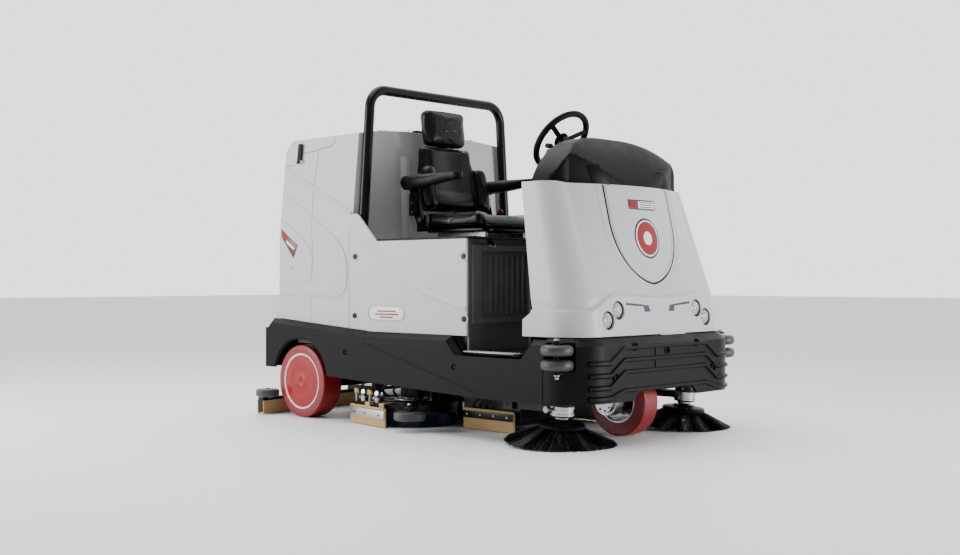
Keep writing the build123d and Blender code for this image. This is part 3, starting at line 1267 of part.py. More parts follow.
with BuildPart() as brush_deck:
    with BuildSketch(Plane.XY.offset(DECK_PLATE_Z)):
        for centre in DISC_CENTRES.values():
            with Locations(centre):
                Circle(COVER_R)
        with BuildLine():
            Polyline(
                (DISC_X + 120.0, -DISC_Y), (DISC_X + 120.0, DISC_Y), (DISC_MID_X, 60.0),
                (DISC_MID_X, -60.0), close=True,
            )
        make_face()
    extrude(amount=DECK_PLATE_T)
    # Down-turned lip on the outer edge of the round covers.
    with BuildSketch(Plane.XY.offset(DECK_PLATE_Z - 20.0)):
        for centre in DISC_CENTRES.values():
            with Locations(centre):
                Circle(COVER_R)
        for centre in DISC_CENTRES.values():
            with Locations(centre):
                Circle(COVER_R - 2.5, mode=Mode.SUBTRACT)
    extrude(amount=20.0)
    # Arms that carry the rollers beyond the deck's front corners.
    for side in (-1, 1):
        start = (DISC_X + 150.0, side * (DISC_Y + 120.0))
        end = (DECK_ROLLER_X, side * DECK_ROLLER_Y)
        turn = degrees(atan2(end[1] - start[1], end[0] - start[0]))
        reach = sqrt((end[0] - start[0]) ** 2 + (end[1] - start[1]) ** 2)
        with BuildSketch(Plane.XY.offset(PLATE_TOP_Z)):
            with Locations(Location(((start[0] + end[0]) / 2, (start[1] + end[1]) / 2, 0), (0, 0, turn))):
                SlotOverall(reach + 50.0, 50.0)
        extrude(amount=10.0)
        pin_low = DECK_ROLLER_Z - DECK_ROLLER_H / 2 - 6.0
        with Locations((DECK_ROLLER_X, side * DECK_ROLLER_Y, (pin_low + PLATE_TOP_Z + 16.0) / 2)):
            Cylinder(DECK_ROLLER_PIN_R, PLATE_TOP_Z + 16.0 - pin_low)
        with Locations((DECK_ROLLER_X, side * DECK_ROLLER_Y, PLATE_TOP_Z + 12.0)):
            Cylinder(14.0, 12.0)
    # Guide sleeves on the frame's posts.
    for side in (-1, 1):
        with Locations((POST_X, side * POST_Y, PLATE_TOP_Z + 50.0)):
            Cylinder(24.0, 100.0)
        with Locations((POST_X, side * POST_Y, PLATE_TOP_Z + 40.0)):
            Cylinder(POST_R + 0.1, 200.0, mode=Mode.SUBTRACT)
    # Clearance for the motor shafts, and lift lugs.
    for centre in DISC_CENTRES.values():
        with Locations((centre[0], centre[1], DECK_PLATE_Z)):
            Cylinder(SHAFT_R + 8.0, 60.0, mode=Mode.SUBTRACT)
    for side in (-1, 1):
        with Locations((DISC_X + 90.0, side * 200.0, PLATE_TOP_Z + 34.0)):
            Box(70.0, 12.0, 68.0)
save(brush_deck.part, "brush_deck")

with BuildPart() as brush_motors:
    for centre in DISC_CENTRES.values():
        with Locations((centre[0], centre[1], (PLATE_TOP_Z + MOTOR_TOP_Z) / 2)):
            Cylinder(MOTOR_R, MOTOR_TOP_Z - PLATE_TOP_Z)
        with Locations((centre[0], centre[1], (PLATE_TOP_Z + 64.0) / 2)):
            Cylinder(SHAFT_R, PLATE_TOP_Z - 64.0)
save(brush_motors.part, "brush_motors")

for name, centre in DISC_CENTRES.items():
    with BuildPart() as disc_brush:
        with Locations((centre[0], centre[1], 81.0)):
            Cylinder(DISC_R - 6.0, 14.0)
        with Locations((centre[0], centre[1], 39.0)):
            Cylinder(DISC_R, 70.0)
            Cylinder(DISC_R * 0.42, 70.0, mode=Mode.SUBTRACT)
        with Locations((centre[0], centre[1], 81.0)):
            Cylinder(SHAFT_R + RUN, 30.0, mode=Mode.SUBTRACT)
    save(disc_brush.part, f"disc_brush_{name}")

with BuildPart() as deck_blades:
    for side in (-1, 1):
        place = Location((blade_mid[0], side * blade_mid[1], BLADE_Z + BLADE_H / 2), (0, 0, side * blade_turn))
        with Locations(place):
            Box(blade_l, BLADE_T, BLADE_H)
            with Locations((0, -side * (BLADE_T / 2 + 2.0), 22.0)):
                Box(blade_l - 30.0, 4.0, 52.0)
            with Locations((0, side * (BLADE_T / 2 + 1.5), 0.0)):
                Box(blade_l - 16.0, 3.0, 30.0)
        # Two straps reach over the deck plate.
        for x in (-70.0, 40.0):
            strap_y = DISC_Y + 222.0
            with Locations((DISC_X + x, side * strap_y, PLATE_TOP_Z + 3.0)):
                Box(36.0, 84.0, 6.0)
            with Locations((DISC_X + x, side * (strap_y + 39.0), PLATE_TOP_Z - 8.0)):
                Box(36.0, 6.0, 28.0)
save(deck_blades.part, "deck_blades")

for name, side in SIDES:
    with BuildPart() as deck_roller:
        with Locations((DECK_ROLLER_X, side * DECK_ROLLER_Y, DECK_ROLLER_Z)):
            Cylinder(DECK_ROLLER_R, DECK_ROLLER_H)
        fillet(deck_roller.edges().filter_by(GeomType.CIRCLE), 12.0)
        with Locations((DECK_ROLLER_X, side * DECK_ROLLER_Y, DECK_ROLLER_Z)):
            Cylinder(DECK_ROLLER_PIN_R + RUN, DECK_ROLLER_H + 2.0, mode=Mode.SUBTRACT)
    save(deck_roller.part, f"deck_roller_{name}")

# ==============================================================================================
# Sweeping head
# ==============================================================================================
SWEEP_T = 8.0
SWEEP_TOP_Z = 300.0
BROOM_Z = BROOM_R + 6.0

with BuildPart() as sweeper_housing:
    sweep_mid = (SWEEP_REAR_X + SWEEP_FRONT_X) / 2
    sweep_l = SWEEP_FRONT_X - SWEEP_REAR_X
    with Locations((sweep_mid, 0, (SWEEP_TOP_Z + 50.0) / 2)):
        Box(sweep_l, 2 * SWEEP_HALF, SWEEP_TOP_Z - 50.0)
    with Locations((sweep_mid, 0, (SWEEP_TOP_Z + 50.0) / 2 - SWEEP_T)):
        Box(sweep_l - 2 * SWEEP_T, 2 * (SWEEP_HALF - SWEEP_T), SWEEP_TOP_Z - 50.0, mode=Mode.SUBTRACT)
    for side in (-1, 1):
        with Locations((sweep_mid, side * RAIL_Y, (SWEEP_TOP_Z + FRAME_TOP_Z - RAIL_H) / 2)):
            Box(60.0, 40.0, FRAME_TOP_Z - RAIL_H - SWEEP_TOP_Z)
        with Locations(Location((BROOM_X, side * (SWEEP_HALF - SWEEP_T / 2), BROOM_Z), (90, 0, 0))):
            Cylinder(BROOM_SHAFT_R + RUN, SWEEP_T * 3, mode=Mode.SUBTRACT)
save(sweeper_housing.part, "sweeper_housing")

with BuildPart() as broom:
    with Locations(Location((BROOM_X, 0, BROOM_Z), (90, 0, 0))):
        Cylinder(BROOM_R, 2 * (SWEEP_HALF - SWEEP_T) - 30.0)
        Cylinder(BROOM_SHAFT_R, 2 * SWEEP_HALF - 2.0)
save(broom.part, "broom")

FLAP_Y = SWEEP_HALF + 22.0

with BuildPart() as sweeper_flaps:
    for side in (-1, 1):
        with Locations((sweep_mid, side * FLAP_Y, 54.0)):
            Box(sweep_l - 40.0, 8.0, 100.0)
        with Locations((sweep_mid, side * (FLAP_Y + 6.0), 66.0)):
            Box(sweep_l - 46.0, 4.0, 34.0)
        with Locations((sweep_mid, side * (SWEEP_HALF + 9.0), 90.0)):
            Box(sweep_l - 80.0, 18.0, 20.0)
save(sweeper_flaps.part, "sweeper_flaps")

# ==============================================================================================
# Side brushes
# ==============================================================================================
for name, side in SIDES:
    axis_dir = Vector(
        sin(radians(SIDE_FORWARD_TILT)), side * sin(radians(SIDE_OUTWARD_TILT)), 1.0
    ).normalized()
    head_plane = Plane(origin=(SIDE_X, side * SIDE_Y, 0), x_dir=(1, 0, 0), z_dir=axis_dir)
    with BuildPart() as side_arm:
        # Gear motor standing over the brush, on the tilted spindle.
        with BuildSketch(head_plane.offset(SIDE_PLATE_Z + 22.0)):
            Circle(52.0)
        extrude(amount=62.0)
        with BuildSketch(head_plane.offset(SIDE_PLATE_Z + 80.0)):
            Circle(40.0)
        extrude(amount=84.0)
        with BuildSketch(head_plane.offset(SIDE_PLATE_Z - 2.0)):
            Circle(12.0)
        extrude(amount=30.0)
        # Trailing arm and its pivot barrel.
        arm_l = SIDE_X - SIDE_PIVOT_X
        with Locations((SIDE_X - arm_l / 2, side * SIDE_Y, SIDE_PIVOT_Z)):
            Box(arm_l, 64.0, 34.0)
        with Locations(Location((SIDE_PIVOT_X, side * SIDE_Y, SIDE_PIVOT_Z), (90, 0, 0))):
            Cylinder(20.0, EAR_GAP - 14.0)
            Cylinder(SIDE_PIVOT_R + RUN, EAR_GAP + 10.0, mode=Mode.SUBTRACT)
    save(side_arm.part, f"side_arm_{name}")

    with BuildPart() as side_brush:
        # Brush plate, then the splayed ring of bristles.
        with BuildSketch(head_plane.offset(SIDE_PLATE_Z - 16.0)):
            Circle(SIDE_PLATE_R)
        extrude(amount=14.0)
        with BuildSketch(Plane(origin=head_plane.origin, x_dir=head_plane.x_dir, z_dir=-head_plane.y_dir)):
            with BuildLine():
                Polyline(
                    (50.0, SIDE_PLATE_Z - 16.0),
                    (SIDE_PLATE_R - 4.0, SIDE_PLATE_Z - 16.0),
                    (SIDE_TIP_R, 32.0),
                    (SIDE_TIP_R - 6.0, 28.0),
                    (SIDE_PLATE_R, 62.0),
                    (50.0, 74.0),
                    close=True,
                )
            make_face()
        revolve(axis=Axis(head_plane.origin, head_plane.z_dir))
        with BuildSketch(head_plane.offset(SIDE_PLATE_Z - 10.0)):
            Circle(12.0 + RUN)
        extrude(amount=20.0, mode=Mode.SUBTRACT)
    save(side_brush.part, f"side_brush_{name}")

# ==============================================================================================
# Rear squeegee
# ==============================================================================================


def squeegee_strip(offset, width):
    """Plan of a strip along the squeegee's bow, offset forward from its middle line."""
    with BuildSketch() as strip:
        with BuildLine():
            rear = ThreePointArc(
                (SQ_END_X + offset - width / 2, -SQ_HALF),
                (SQ_MID_X + offset - width / 2, 0),
                (SQ_END_X + offset - width / 2, SQ_HALF),
            )
            left = Line(rear @ 1, (SQ_END_X + offset + width / 2, SQ_HALF))
            front = ThreePointArc(
                left @ 1,
                (SQ_MID_X + offset + width / 2, 0),
                (SQ_END_X + offset + width / 2, -SQ_HALF),
            )
            Line(front @ 1, rear @ 0)
        make_face()
    return strip.sketch_local


with BuildPart() as squeegee_frame:
    with BuildSketch(Plane.XY.offset(34.0)):
        add(squeegee_strip(0.0, 44.0))
    extrude(amount=62.0)
    # Arm to the pivot on the axle beam.
    with Locations(((SQ_MID_X + SQ_PIVOT_X) / 2 + 20.0, 0, 112.0)):
        Box(SQ_PIVOT_X - SQ_MID_X - 10.0, 70.0, 32.0)
    with Locations((SQ_PIVOT_X, 0, (112.0 + SQ_PIVOT_Z) / 2)):
        Box(36.0, 70.0, SQ_PIVOT_Z - 100.0)
    with Locations(Location((SQ_PIVOT_X, 0, SQ_PIVOT_Z), (90, 0, 0))):
        Cylinder(18.0, 70.0)
        Cylinder(SQ_PIN_R + RUN, 90.0, mode=Mode.SUBTRACT)
    # Suction neck.
    with Locations((SQ_MID_X, 0, 130.0)):
        Cylinder(28.0, 70.0)
        Cylinder(24.0, 80.0, mode=Mode.SUBTRACT)
    # Roller brackets and pins.
    for side in (-1, 1):
        with Locations((SQ_END_X + 22.0, side * (SQ_ROLLER_Y - 4.0), 92.0)):
            Box(80.0, 40.0, 8.0)
        with Locations((SQ_ROLLER_X, side * SQ_ROLLER_Y, 120.0)):
            Cylinder(SQ_PIN_R, 56.0)
save(squeegee_frame.part, "squeegee_frame")

with BuildPart() as squeegee_blades:
    for offset in (-26.0, 26.0):
        with BuildSketch(Plane.XY.offset(4.0)):
            add(squeegee_strip(offset, 6.0))
        extrude(amount=74.0)
save(squeegee_blades.part, "squeegee_blades")

for name, side in SIDES:
    with BuildPart() as squeegee_roller:
        with Locations((SQ_ROLLER_X, side * SQ_ROLLER_Y, SQ_ROLLER_Z)):
            Cylinder(SQ_ROLLER_R, SQ_ROLLER_H)
        fillet(squeegee_roller.edges().filter_by(GeomType.CIRCLE), 10.0)
        with Locations((SQ_ROLLER_X, side * SQ_ROLLER_Y, SQ_ROLLER_Z)):
            Cylinder(SQ_PIN_R + RUN, SQ_ROLLER_H + 2.0, mode=Mode.SUBTRACT)
    save(squeegee_roller.part, f"squeegee_roller_{name}")
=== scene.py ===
"""Looks of the ride-on scrubber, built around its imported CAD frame.

Every sub-assembly is a class that dresses the CAD nodes it owns and adds the visual pieces
that ride on them. Lengths inside the classes are in millimetres and are turned to metres by
``mm``; +X is forward, +Y the driver's left, +Z up, as in the frame.
"""

import json
import logging
import math
import random
from dataclasses import dataclass, field
from enum import Enum
from typing import Callable, Iterable, Optional, Sequence

import bmesh
import bpy
from mathutils import Euler, Matrix, Vector

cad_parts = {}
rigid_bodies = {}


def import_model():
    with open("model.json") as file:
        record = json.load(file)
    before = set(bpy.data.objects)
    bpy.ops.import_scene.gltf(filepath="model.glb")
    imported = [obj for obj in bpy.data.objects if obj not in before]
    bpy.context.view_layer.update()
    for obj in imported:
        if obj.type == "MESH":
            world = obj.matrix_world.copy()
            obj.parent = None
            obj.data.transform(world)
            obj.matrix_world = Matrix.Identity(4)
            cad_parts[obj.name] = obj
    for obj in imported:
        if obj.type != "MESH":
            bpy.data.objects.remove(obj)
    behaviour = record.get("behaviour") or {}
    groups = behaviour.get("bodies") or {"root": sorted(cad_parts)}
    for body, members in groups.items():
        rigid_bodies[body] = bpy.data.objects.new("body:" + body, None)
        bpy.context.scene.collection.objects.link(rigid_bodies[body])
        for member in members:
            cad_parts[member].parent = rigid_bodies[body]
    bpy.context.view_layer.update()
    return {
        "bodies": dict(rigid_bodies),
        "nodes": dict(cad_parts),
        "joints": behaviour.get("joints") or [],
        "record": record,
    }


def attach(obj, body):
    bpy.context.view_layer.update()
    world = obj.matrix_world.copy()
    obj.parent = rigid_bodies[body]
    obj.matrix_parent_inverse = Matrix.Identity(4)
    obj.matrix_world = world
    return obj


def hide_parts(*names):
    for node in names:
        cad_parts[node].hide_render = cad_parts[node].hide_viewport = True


LOG = logging.getLogger("scrubber")
SCALE = 0.001
REAR_AXLE_X = -835.0
DRIVE_AXLE_X = 910.0
BODY_HALF = 610.0
SIDES = (("right", -1), ("left", 1))

Point = tuple[float, float, float]


def mm(*values: float) -> Vector:
    """Turn millimetres into a vector in metres.

    Args:
        *values: X, Y and Z in millimetres.

    Returns:
        The same point in metres.
    """
    return Vector(values) * SCALE


# ---------------------------------------------------------------------------------------------
# Materials
# ---------------------------------------------------------------------------------------------


def srgb(code: str) -> tuple[float, float, float, float]:
    """Turn an sRGB hex colour into linear RGBA.

    Args:
        code: Colour as six hex digits.

    Returns:
        Linear red, green, blue and alpha 1.
    """
    parts = [int(code[i : i + 2], 16) / 255 for i in (0, 2, 4)]
    linear = [c / 12.92 if c <= 0.04045 else ((c + 0.055) / 1.055) ** 2.4 for c in parts]
    return (linear[0], linear[1], linear[2], 1.0)


def add_node(
    tree: bpy.types.NodeTree, kind: str, settings: dict | None = None, **inputs: object
) -> bpy.types.Node:
    """Add a node, set its properties and input defaults.

    Args:
        tree: Node tree that gets the node.
        kind: Blender's name of the node type.
        settings: Properties of the node.
        **inputs: Input defaults by socket name, with underscores for spaces, or sockets to link.

    Returns:
        The new node.
    """
    node = tree.nodes.new(kind)
    for key, value in (settings or {}).items():
        setattr(node, key, value)
    for key, value in inputs.items():
        socket = node.inputs[key.replace("_", " ")]
        if isinstance(value, bpy.types.NodeSocket):
            tree.links.new(value, socket)
        else:
            socket.default_value = value
    return node


@dataclass(frozen=True)
class Finish:
    """One real material's look.

    Args:
        label: Name of the material in Blender.
        color: sRGB hex of the clean surface.
        shade: sRGB hex of its slightly darker or dustier state.
        roughness: Base roughness.
        spread: How far the roughness wanders.
        metallic: 0 for a dielectric, 1 for bare metal.
        ior: Index of refraction.
        grain_mm: Size of the surface grain.
        bump: Height of the grain, as bump strength.
        cells: True for a cell-like grain, as on vinyl.
        streak: Stretch of the grain along Z, for brushed or fibrous surfaces.
        coat: Weight of a clear coat.
        specular: Specular level, 0.5 for a clean dielectric, less for a chalky or sooty one.
    """

    label: str
    color: str
    shade: str
    roughness: float
    spread: float = 0.08
    metallic: float = 0.0
    ior: float = 1.5
    grain_mm: float = 2.0
    bump: float = 0.1
    cells: bool = False
    streak: float = 1.0
    coat: float = 0.0
    specular: float = 0.5

    def build(self) -> bpy.types.Material:
        """Make the procedural material.

        Returns:
            The Blender material, with a grain, a soft mottling and a bump in object space.
        """
        material = bpy.data.materials.new(self.label)
        material.use_nodes = True
        tree = material.node_tree
        tree.nodes.clear()
        out = add_node(tree, "ShaderNodeOutputMaterial")
        where = add_node(tree, "ShaderNodeTexCoord")
        stretch = add_node(
            tree,
            "ShaderNodeMapping",
            Vector=where.outputs["Object"],
            Scale=(1.0, 1.0, 1.0 / self.streak),
        )
        mottle = add_node(
            tree,
            "ShaderNodeTexNoise",
            Vector=stretch.outputs["Vector"],
            Scale=9.0,
            Detail=4.0,
            Roughness=0.6,
        )
        if self.cells:
            grain = add_node(
                tree,
                "ShaderNodeTexVoronoi",
                {"feature": "SMOOTH_F1"},
                Vector=stretch.outputs["Vector"],
                Scale=1000.0 / self.grain_mm,
                Smoothness=0.6,
            )
            height = grain.outputs["Distance"]
        else:
            grain = add_node(
                tree,
                "ShaderNodeTexNoise",
                Vector=stretch.outputs["Vector"],
                Scale=1000.0 / self.grain_mm,
                Detail=3.0,
                Roughness=0.55,
            )
            height = grain.outputs["Fac"]
        mix = add_node(
            tree,
            "ShaderNodeMix",
            {"data_type": "RGBA"},
            Factor=mottle.outputs["Fac"],
        )
        mix.inputs[6].default_value = srgb(self.shade)
        mix.inputs[7].default_value = srgb(self.color)
        rough = add_node(
            tree,
            "ShaderNodeMapRange",
            Value=mottle.outputs["Fac"],
        )
        rough.inputs["From Min"].default_value = 0.3
        rough.inputs["From Max"].default_value = 0.7
        rough.inputs["To Min"].default_value = max(0.02, self.roughness - self.spread)
        rough.inputs["To Max"].default_value = min(1.0, self.roughness + self.spread)
        bump = add_node(
            tree,
            "ShaderNodeBump",
            Strength=self.bump,
            Distance=self.grain_mm * SCALE * 0.5,
            Height=height,
        )
        skin = add_node(
            tree,
            "ShaderNodeBsdfPrincipled",
            Base_Color=mix.outputs[2],
            Roughness=rough.outputs["Result"],
            Metallic=self.metallic,
            IOR=self.ior,
            Normal=bump.outputs["Normal"],
            Coat_Weight=self.coat,
            Coat_Roughness=0.15,
            Specular_IOR_Level=self.specular,
        )
        tree.links.new(skin.outputs["BSDF"], out.inputs["Surface"])
        return material


class Look(Enum):
    """The machine's finishes, by what they are in real life."""

    # Rotomoulded polyethylene, light grey-white, orange-peel grain.
    BODY = Finish(
        "rotomoulded polyethylene white", "c3c4c8", "babbbf", 0.40, 0.05, grain_mm=1.6, bump=0.10
    )
    # Injection-moulded black polypropylene covers.
    TRIM = Finish(
        "black polypropylene",
        "0a0a0b",
        "060607",
        0.42,
        0.06,
        grain_mm=1.2,
        bump=0.16,
        specular=0.13,
    )
    # Soft-touch thermoplastic of the dash hood.
    HOOD = Finish(
        "soft black thermoplastic",
        "070708",
        "040405",
        0.5,
        0.05,
        grain_mm=0.9,
        bump=0.14,
        specular=0.12,
    )
    # Powder-coated steel tube and plate.
    FRAME = Finish(
        "black powder coat",
        "070708",
        "050506",
        0.34,
        0.06,
        grain_mm=0.8,
        bump=0.12,
        coat=0.06,
        specular=0.2,
    )
    # Red polyurethane tread, cast and machined.
    TREAD = Finish(
        "red polyurethane", "8c0b16", "6f0811", 0.38, 0.08, ior=1.52, grain_mm=3.0, bump=0.10
    )
    # Brighter red lacquered hub disc.
    HUB = Finish(
        "red hub enamel",
        "9c060c",
        "8b050a",
        0.36,
        0.05,
        grain_mm=2.0,
        bump=0.04,
        coat=0.1,
        specular=0.35,
    )
    # White paint line.
    WHITE = Finish("white enamel", "f1efec", "e6e4e0", 0.35, 0.05, grain_mm=1.0, bump=0.03)
    # Embossed black vinyl over foam.
    VINYL = Finish(
        "black vinyl",
        "080809",
        "050506",
        0.33,
        0.07,
        grain_mm=1.7,
        bump=0.22,
        cells=True,
        specular=0.27,
    )
    # Integral-skin polyurethane armrests.
    ARM = Finish(
        "integral skin foam grey",
        "141416",
        "0e0e10",
        0.44,
        0.07,
        grain_mm=1.0,
        bump=0.2,
        specular=0.24,
    )
    # Natural gum rubber blade.
    GUM = Finish("tan gum rubber", "bd9c6c", "a88758", 0.62, 0.06, grain_mm=2.5, bump=0.1)
    # Anodised or cast aluminium.
    ALLOY = Finish(
        "cast aluminium", "c4c5c8", "a9abae", 0.32, 0.08, metallic=1.0, grain_mm=1.2, bump=0.12
    )
    # Zinc-plated steel fasteners.
    ZINC = Finish(
        "zinc plated steel", "9c9da0", "7f8184", 0.28, 0.08, metallic=1.0, grain_mm=0.6, bump=0.08
    )
    # Dark phosphated screw steel.
    SCREW = Finish(
        "black oxide steel", "2a2a2c", "1c1c1d", 0.35, 0.08, metallic=0.8, grain_mm=0.6, bump=0.08
    )
    # Grey elastomer of the wall rollers.
    ROLLER = Finish("grey elastomer", "3b3c3f", "303133", 0.46, 0.07, grain_mm=1.4, bump=0.12)
    # Blue polypropylene disc brush.
    BLUE = Finish("blue polypropylene", "062445", "041a33", 0.45, 0.08, grain_mm=1.2, bump=0.1)
    # Black polypropylene bristle, slightly shiny.
    BRISTLE = Finish(
        "black bristle", "070708", "030304", 0.3, 0.1, grain_mm=6.0, bump=0.05, specular=0.25
    )
    # The same bristle in a lighter grey for a share of the strands: painted highlight standing for
    # light caught on them.
    BRISTLE_HIGHLIGHT = Finish("painted highlight bristle", "3c3c3f", "2a2a2c", 0.3, 0.1, grain_mm=6.0, bump=0.05)
    # Bright yellow nylon knobs.
    YELLOW = Finish("yellow nylon", "e6c413", "cfae0d", 0.42, 0.05, grain_mm=1.0, bump=0.06)
    # Red thermoplastic of the stop button, beacon and badges.
    RED = Finish(
        "red thermoplastic",
        "93050b",
        "820409",
        0.32,
        0.05,
        grain_mm=1.0,
        bump=0.04,
        coat=0.15,
        specular=0.35,
    )
    # Dark slate printing ink of the plates.
    INK = Finish("dark slate ink", "2b333b", "242b32", 0.4, 0.04, grain_mm=1.0, bump=0.02)
    # Dark grey textured panel of the kick plate.
    KICK = Finish(
        "dark grey polypropylene",
        "5c5d5f",
        "4e4f51",
        0.5,
        0.06,
        grain_mm=1.2,
        bump=0.18,
        specular=0.3,
    )
    # Clean-water tank, natural polyethylene.
    NATURAL = Finish("natural polyethylene", "c9cac7", "bcbdb9", 0.5, 0.06, grain_mm=1.6, bump=0.1)
    # Battery cases.
    CASE = Finish(
        "battery case polypropylene", "202124", "18191b", 0.5, 0.06, grain_mm=1.2, bump=0.12
    )
    # Reflector behind the lamp lens.
    REFLECTOR = Finish(
        "vacuum metallised reflector",
        "e8e9eb",
        "d8d9dc",
        0.12,
        0.04,
        metallic=1.0,
        grain_mm=4.0,
        bump=0.02,
    )
    # EPDM hose and cable sheath.
    HOSE = Finish(
        "black hose rubber", "0e0e0f", "09090a", 0.48, 0.08, grain_mm=0.8, bump=0.15, specular=0.28
    )
    # Stainless chequer plate.
    CHEQUER = Finish(
        "stainless chequer plate",
        "a8a9ab",
        "8e9092",
        0.3,
        0.08,
        metallic=1.0,
        grain_mm=0.9,
        bump=0.1,
    )

    @property
    def material(self) -> bpy.types.Material:
        """The Blender material, made once."""
        made = bpy.data.materials.get(self.value.label)
        return made or self.value.build()


def lens_material() -> bpy.types.Material:
    """Make clear polycarbonate with fine vertical flutes.

    Returns:
        The material of the lamp lenses.
    """
    made = bpy.data.materials.get("clear polycarbonate lens")
    if made:
        return made
    material = bpy.data.materials.new("clear polycarbonate lens")
    material.use_nodes = True
    tree = material.node_tree
    tree.nodes.clear()
    out = add_node(tree, "ShaderNodeOutputMaterial")
    where = add_node(tree, "ShaderNodeTexCoord")
    flutes = add_node(
        tree,
        "ShaderNodeTexWave",
        {"bands_direction": "Y"},
        Vector=where.outputs["Object"],
        Scale=48.0,
        Distortion=0.0,
    )
    bump = add_node(
        tree, "ShaderNodeBump", Strength=0.35, Distance=0.0015, Height=flutes.outputs["Fac"]
    )
    skin = add_node(
        tree,
        "ShaderNodeBsdfPrincipled",
        Base_Color=srgb("f4f6f8"),
        Roughness=0.06,
        IOR=1.58,
        Transmission_Weight=0.75,
        Normal=bump.outputs["Normal"],
    )
    tree.links.new(skin.outputs["BSDF"], out.inputs["Surface"])
    return material


# ---------------------------------------------------------------------------------------------
# Mesh helpers
# ---------------------------------------------------------------------------------------------


def make_object(
    name: str,
    verts: Sequence,
    faces: Sequence[Sequence[int]],
    look: Look | bpy.types.Material,
    body: str,
    smooth: bool = True,
    bevel_mm: float = 0.0,
    segments: int = 2,
) -> bpy.types.Object:
    """Make a mesh object that rides on a CAD body.

    Args:
        name: Name of the piece.
        verts: Vertex positions in millimetres, row frame.
        faces: Vertex indices of each face.
        look: Finish or material of the piece.
        body: CAD body it rides on.
        smooth: True for smooth shading.
        bevel_mm: Width of a bevel on sharp edges.
        segments: Segments of that bevel.

    Returns:
        The new object.
    """
    mesh = bpy.data.meshes.new(name)
    mesh.from_pydata([tuple(c * SCALE for c in v) for v in verts], [], [tuple(f) for f in faces])
    work = bmesh.new()
    work.from_mesh(mesh)
    bmesh.ops.remove_doubles(work, verts=work.verts, dist=1e-6)
    bmesh.ops.recalc_face_normals(work, faces=work.faces)
    if bevel_mm:
        edges = [
            e
            for e in work.edges
            if len(e.link_faces) == 2 and e.calc_face_angle(0.0) > math.radians(28)
        ]
        bmesh.ops.bevel(
            work,
            geom=edges,
            offset=bevel_mm * SCALE,
            segments=segments,
            profile=0.5,
            affect="EDGES",
            clamp_overlap=True,
        )
    work.to_mesh(mesh)
    work.free()
    obj = bpy.data.objects.new(name, mesh)
    bpy.context.scene.collection.objects.link(obj)
    mesh.materials.append(look.material if isinstance(look, Look) else look)
    if smooth:
        mesh.shade_smooth()
        mesh.set_sharp_from_angle(angle=math.radians(35))
    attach(obj, body)
    return obj


def frame_from_axis(axis: Sequence[float]) -> Matrix:
    """Rotation that turns +Z to an axis.

    Args:
        axis: Direction of the turned Z axis.

    Returns:
        The 3 by 3 rotation matrix.
    """
    return Vector(axis).to_track_quat("Z", "Y").to_matrix()


def lathe(
    name: str,
    profile: Sequence[tuple[float, float]],
    origin: Point,
    axis: Sequence[float],
    look: Look | bpy.types.Material,
    body: str,
    steps: int = 48,
    bevel_mm: float = 0.0,
) -> bpy.types.Object:
    """Turn a profile round an axis.

    Args:
        name: Name of the piece.
        profile: Radius and height pairs, from one end of the axis to the other.
        origin: Point of the axis where the height is 0.
        axis: Direction of the height.
        look: Finish of the piece.
        body: CAD body it rides on.
        steps: Segments round the axis.
        bevel_mm: Width of a bevel on sharp edges.

    Returns:
        The new object.
    """
    turn = frame_from_axis(axis)
    base = Vector(origin)
    verts: list[Vector] = []
    faces: list[list[int]] = []
    rings: list[list[int]] = []
    for radius, height in profile:
        if radius < 1e-6:
            verts.append(base + turn @ Vector((0, 0, height)))
            rings.append([len(verts) - 1] * steps)
            continue
        ring = []
        for i in range(steps):
            a = 2 * math.pi * i / steps
            verts.append(base + turn @ Vector((radius * math.cos(a), radius * math.sin(a), height)))
            ring.append(len(verts) - 1)
        rings.append(ring)
    for low, high in zip(rings[:-1], rings[1:]):
        for i in range(steps):
            j = (i + 1) % steps
            corners = [low[i], low[j], high[j], high[i]]
            unique = list(dict.fromkeys(corners))
            if len(unique) > 2:
                faces.append(unique)
    for ring in (rings[0], rings[-1]):
        if len(set(ring)) > 2:
            faces.append(ring)
    return make_object(name, verts, faces, look, body, bevel_mm=bevel_mm)


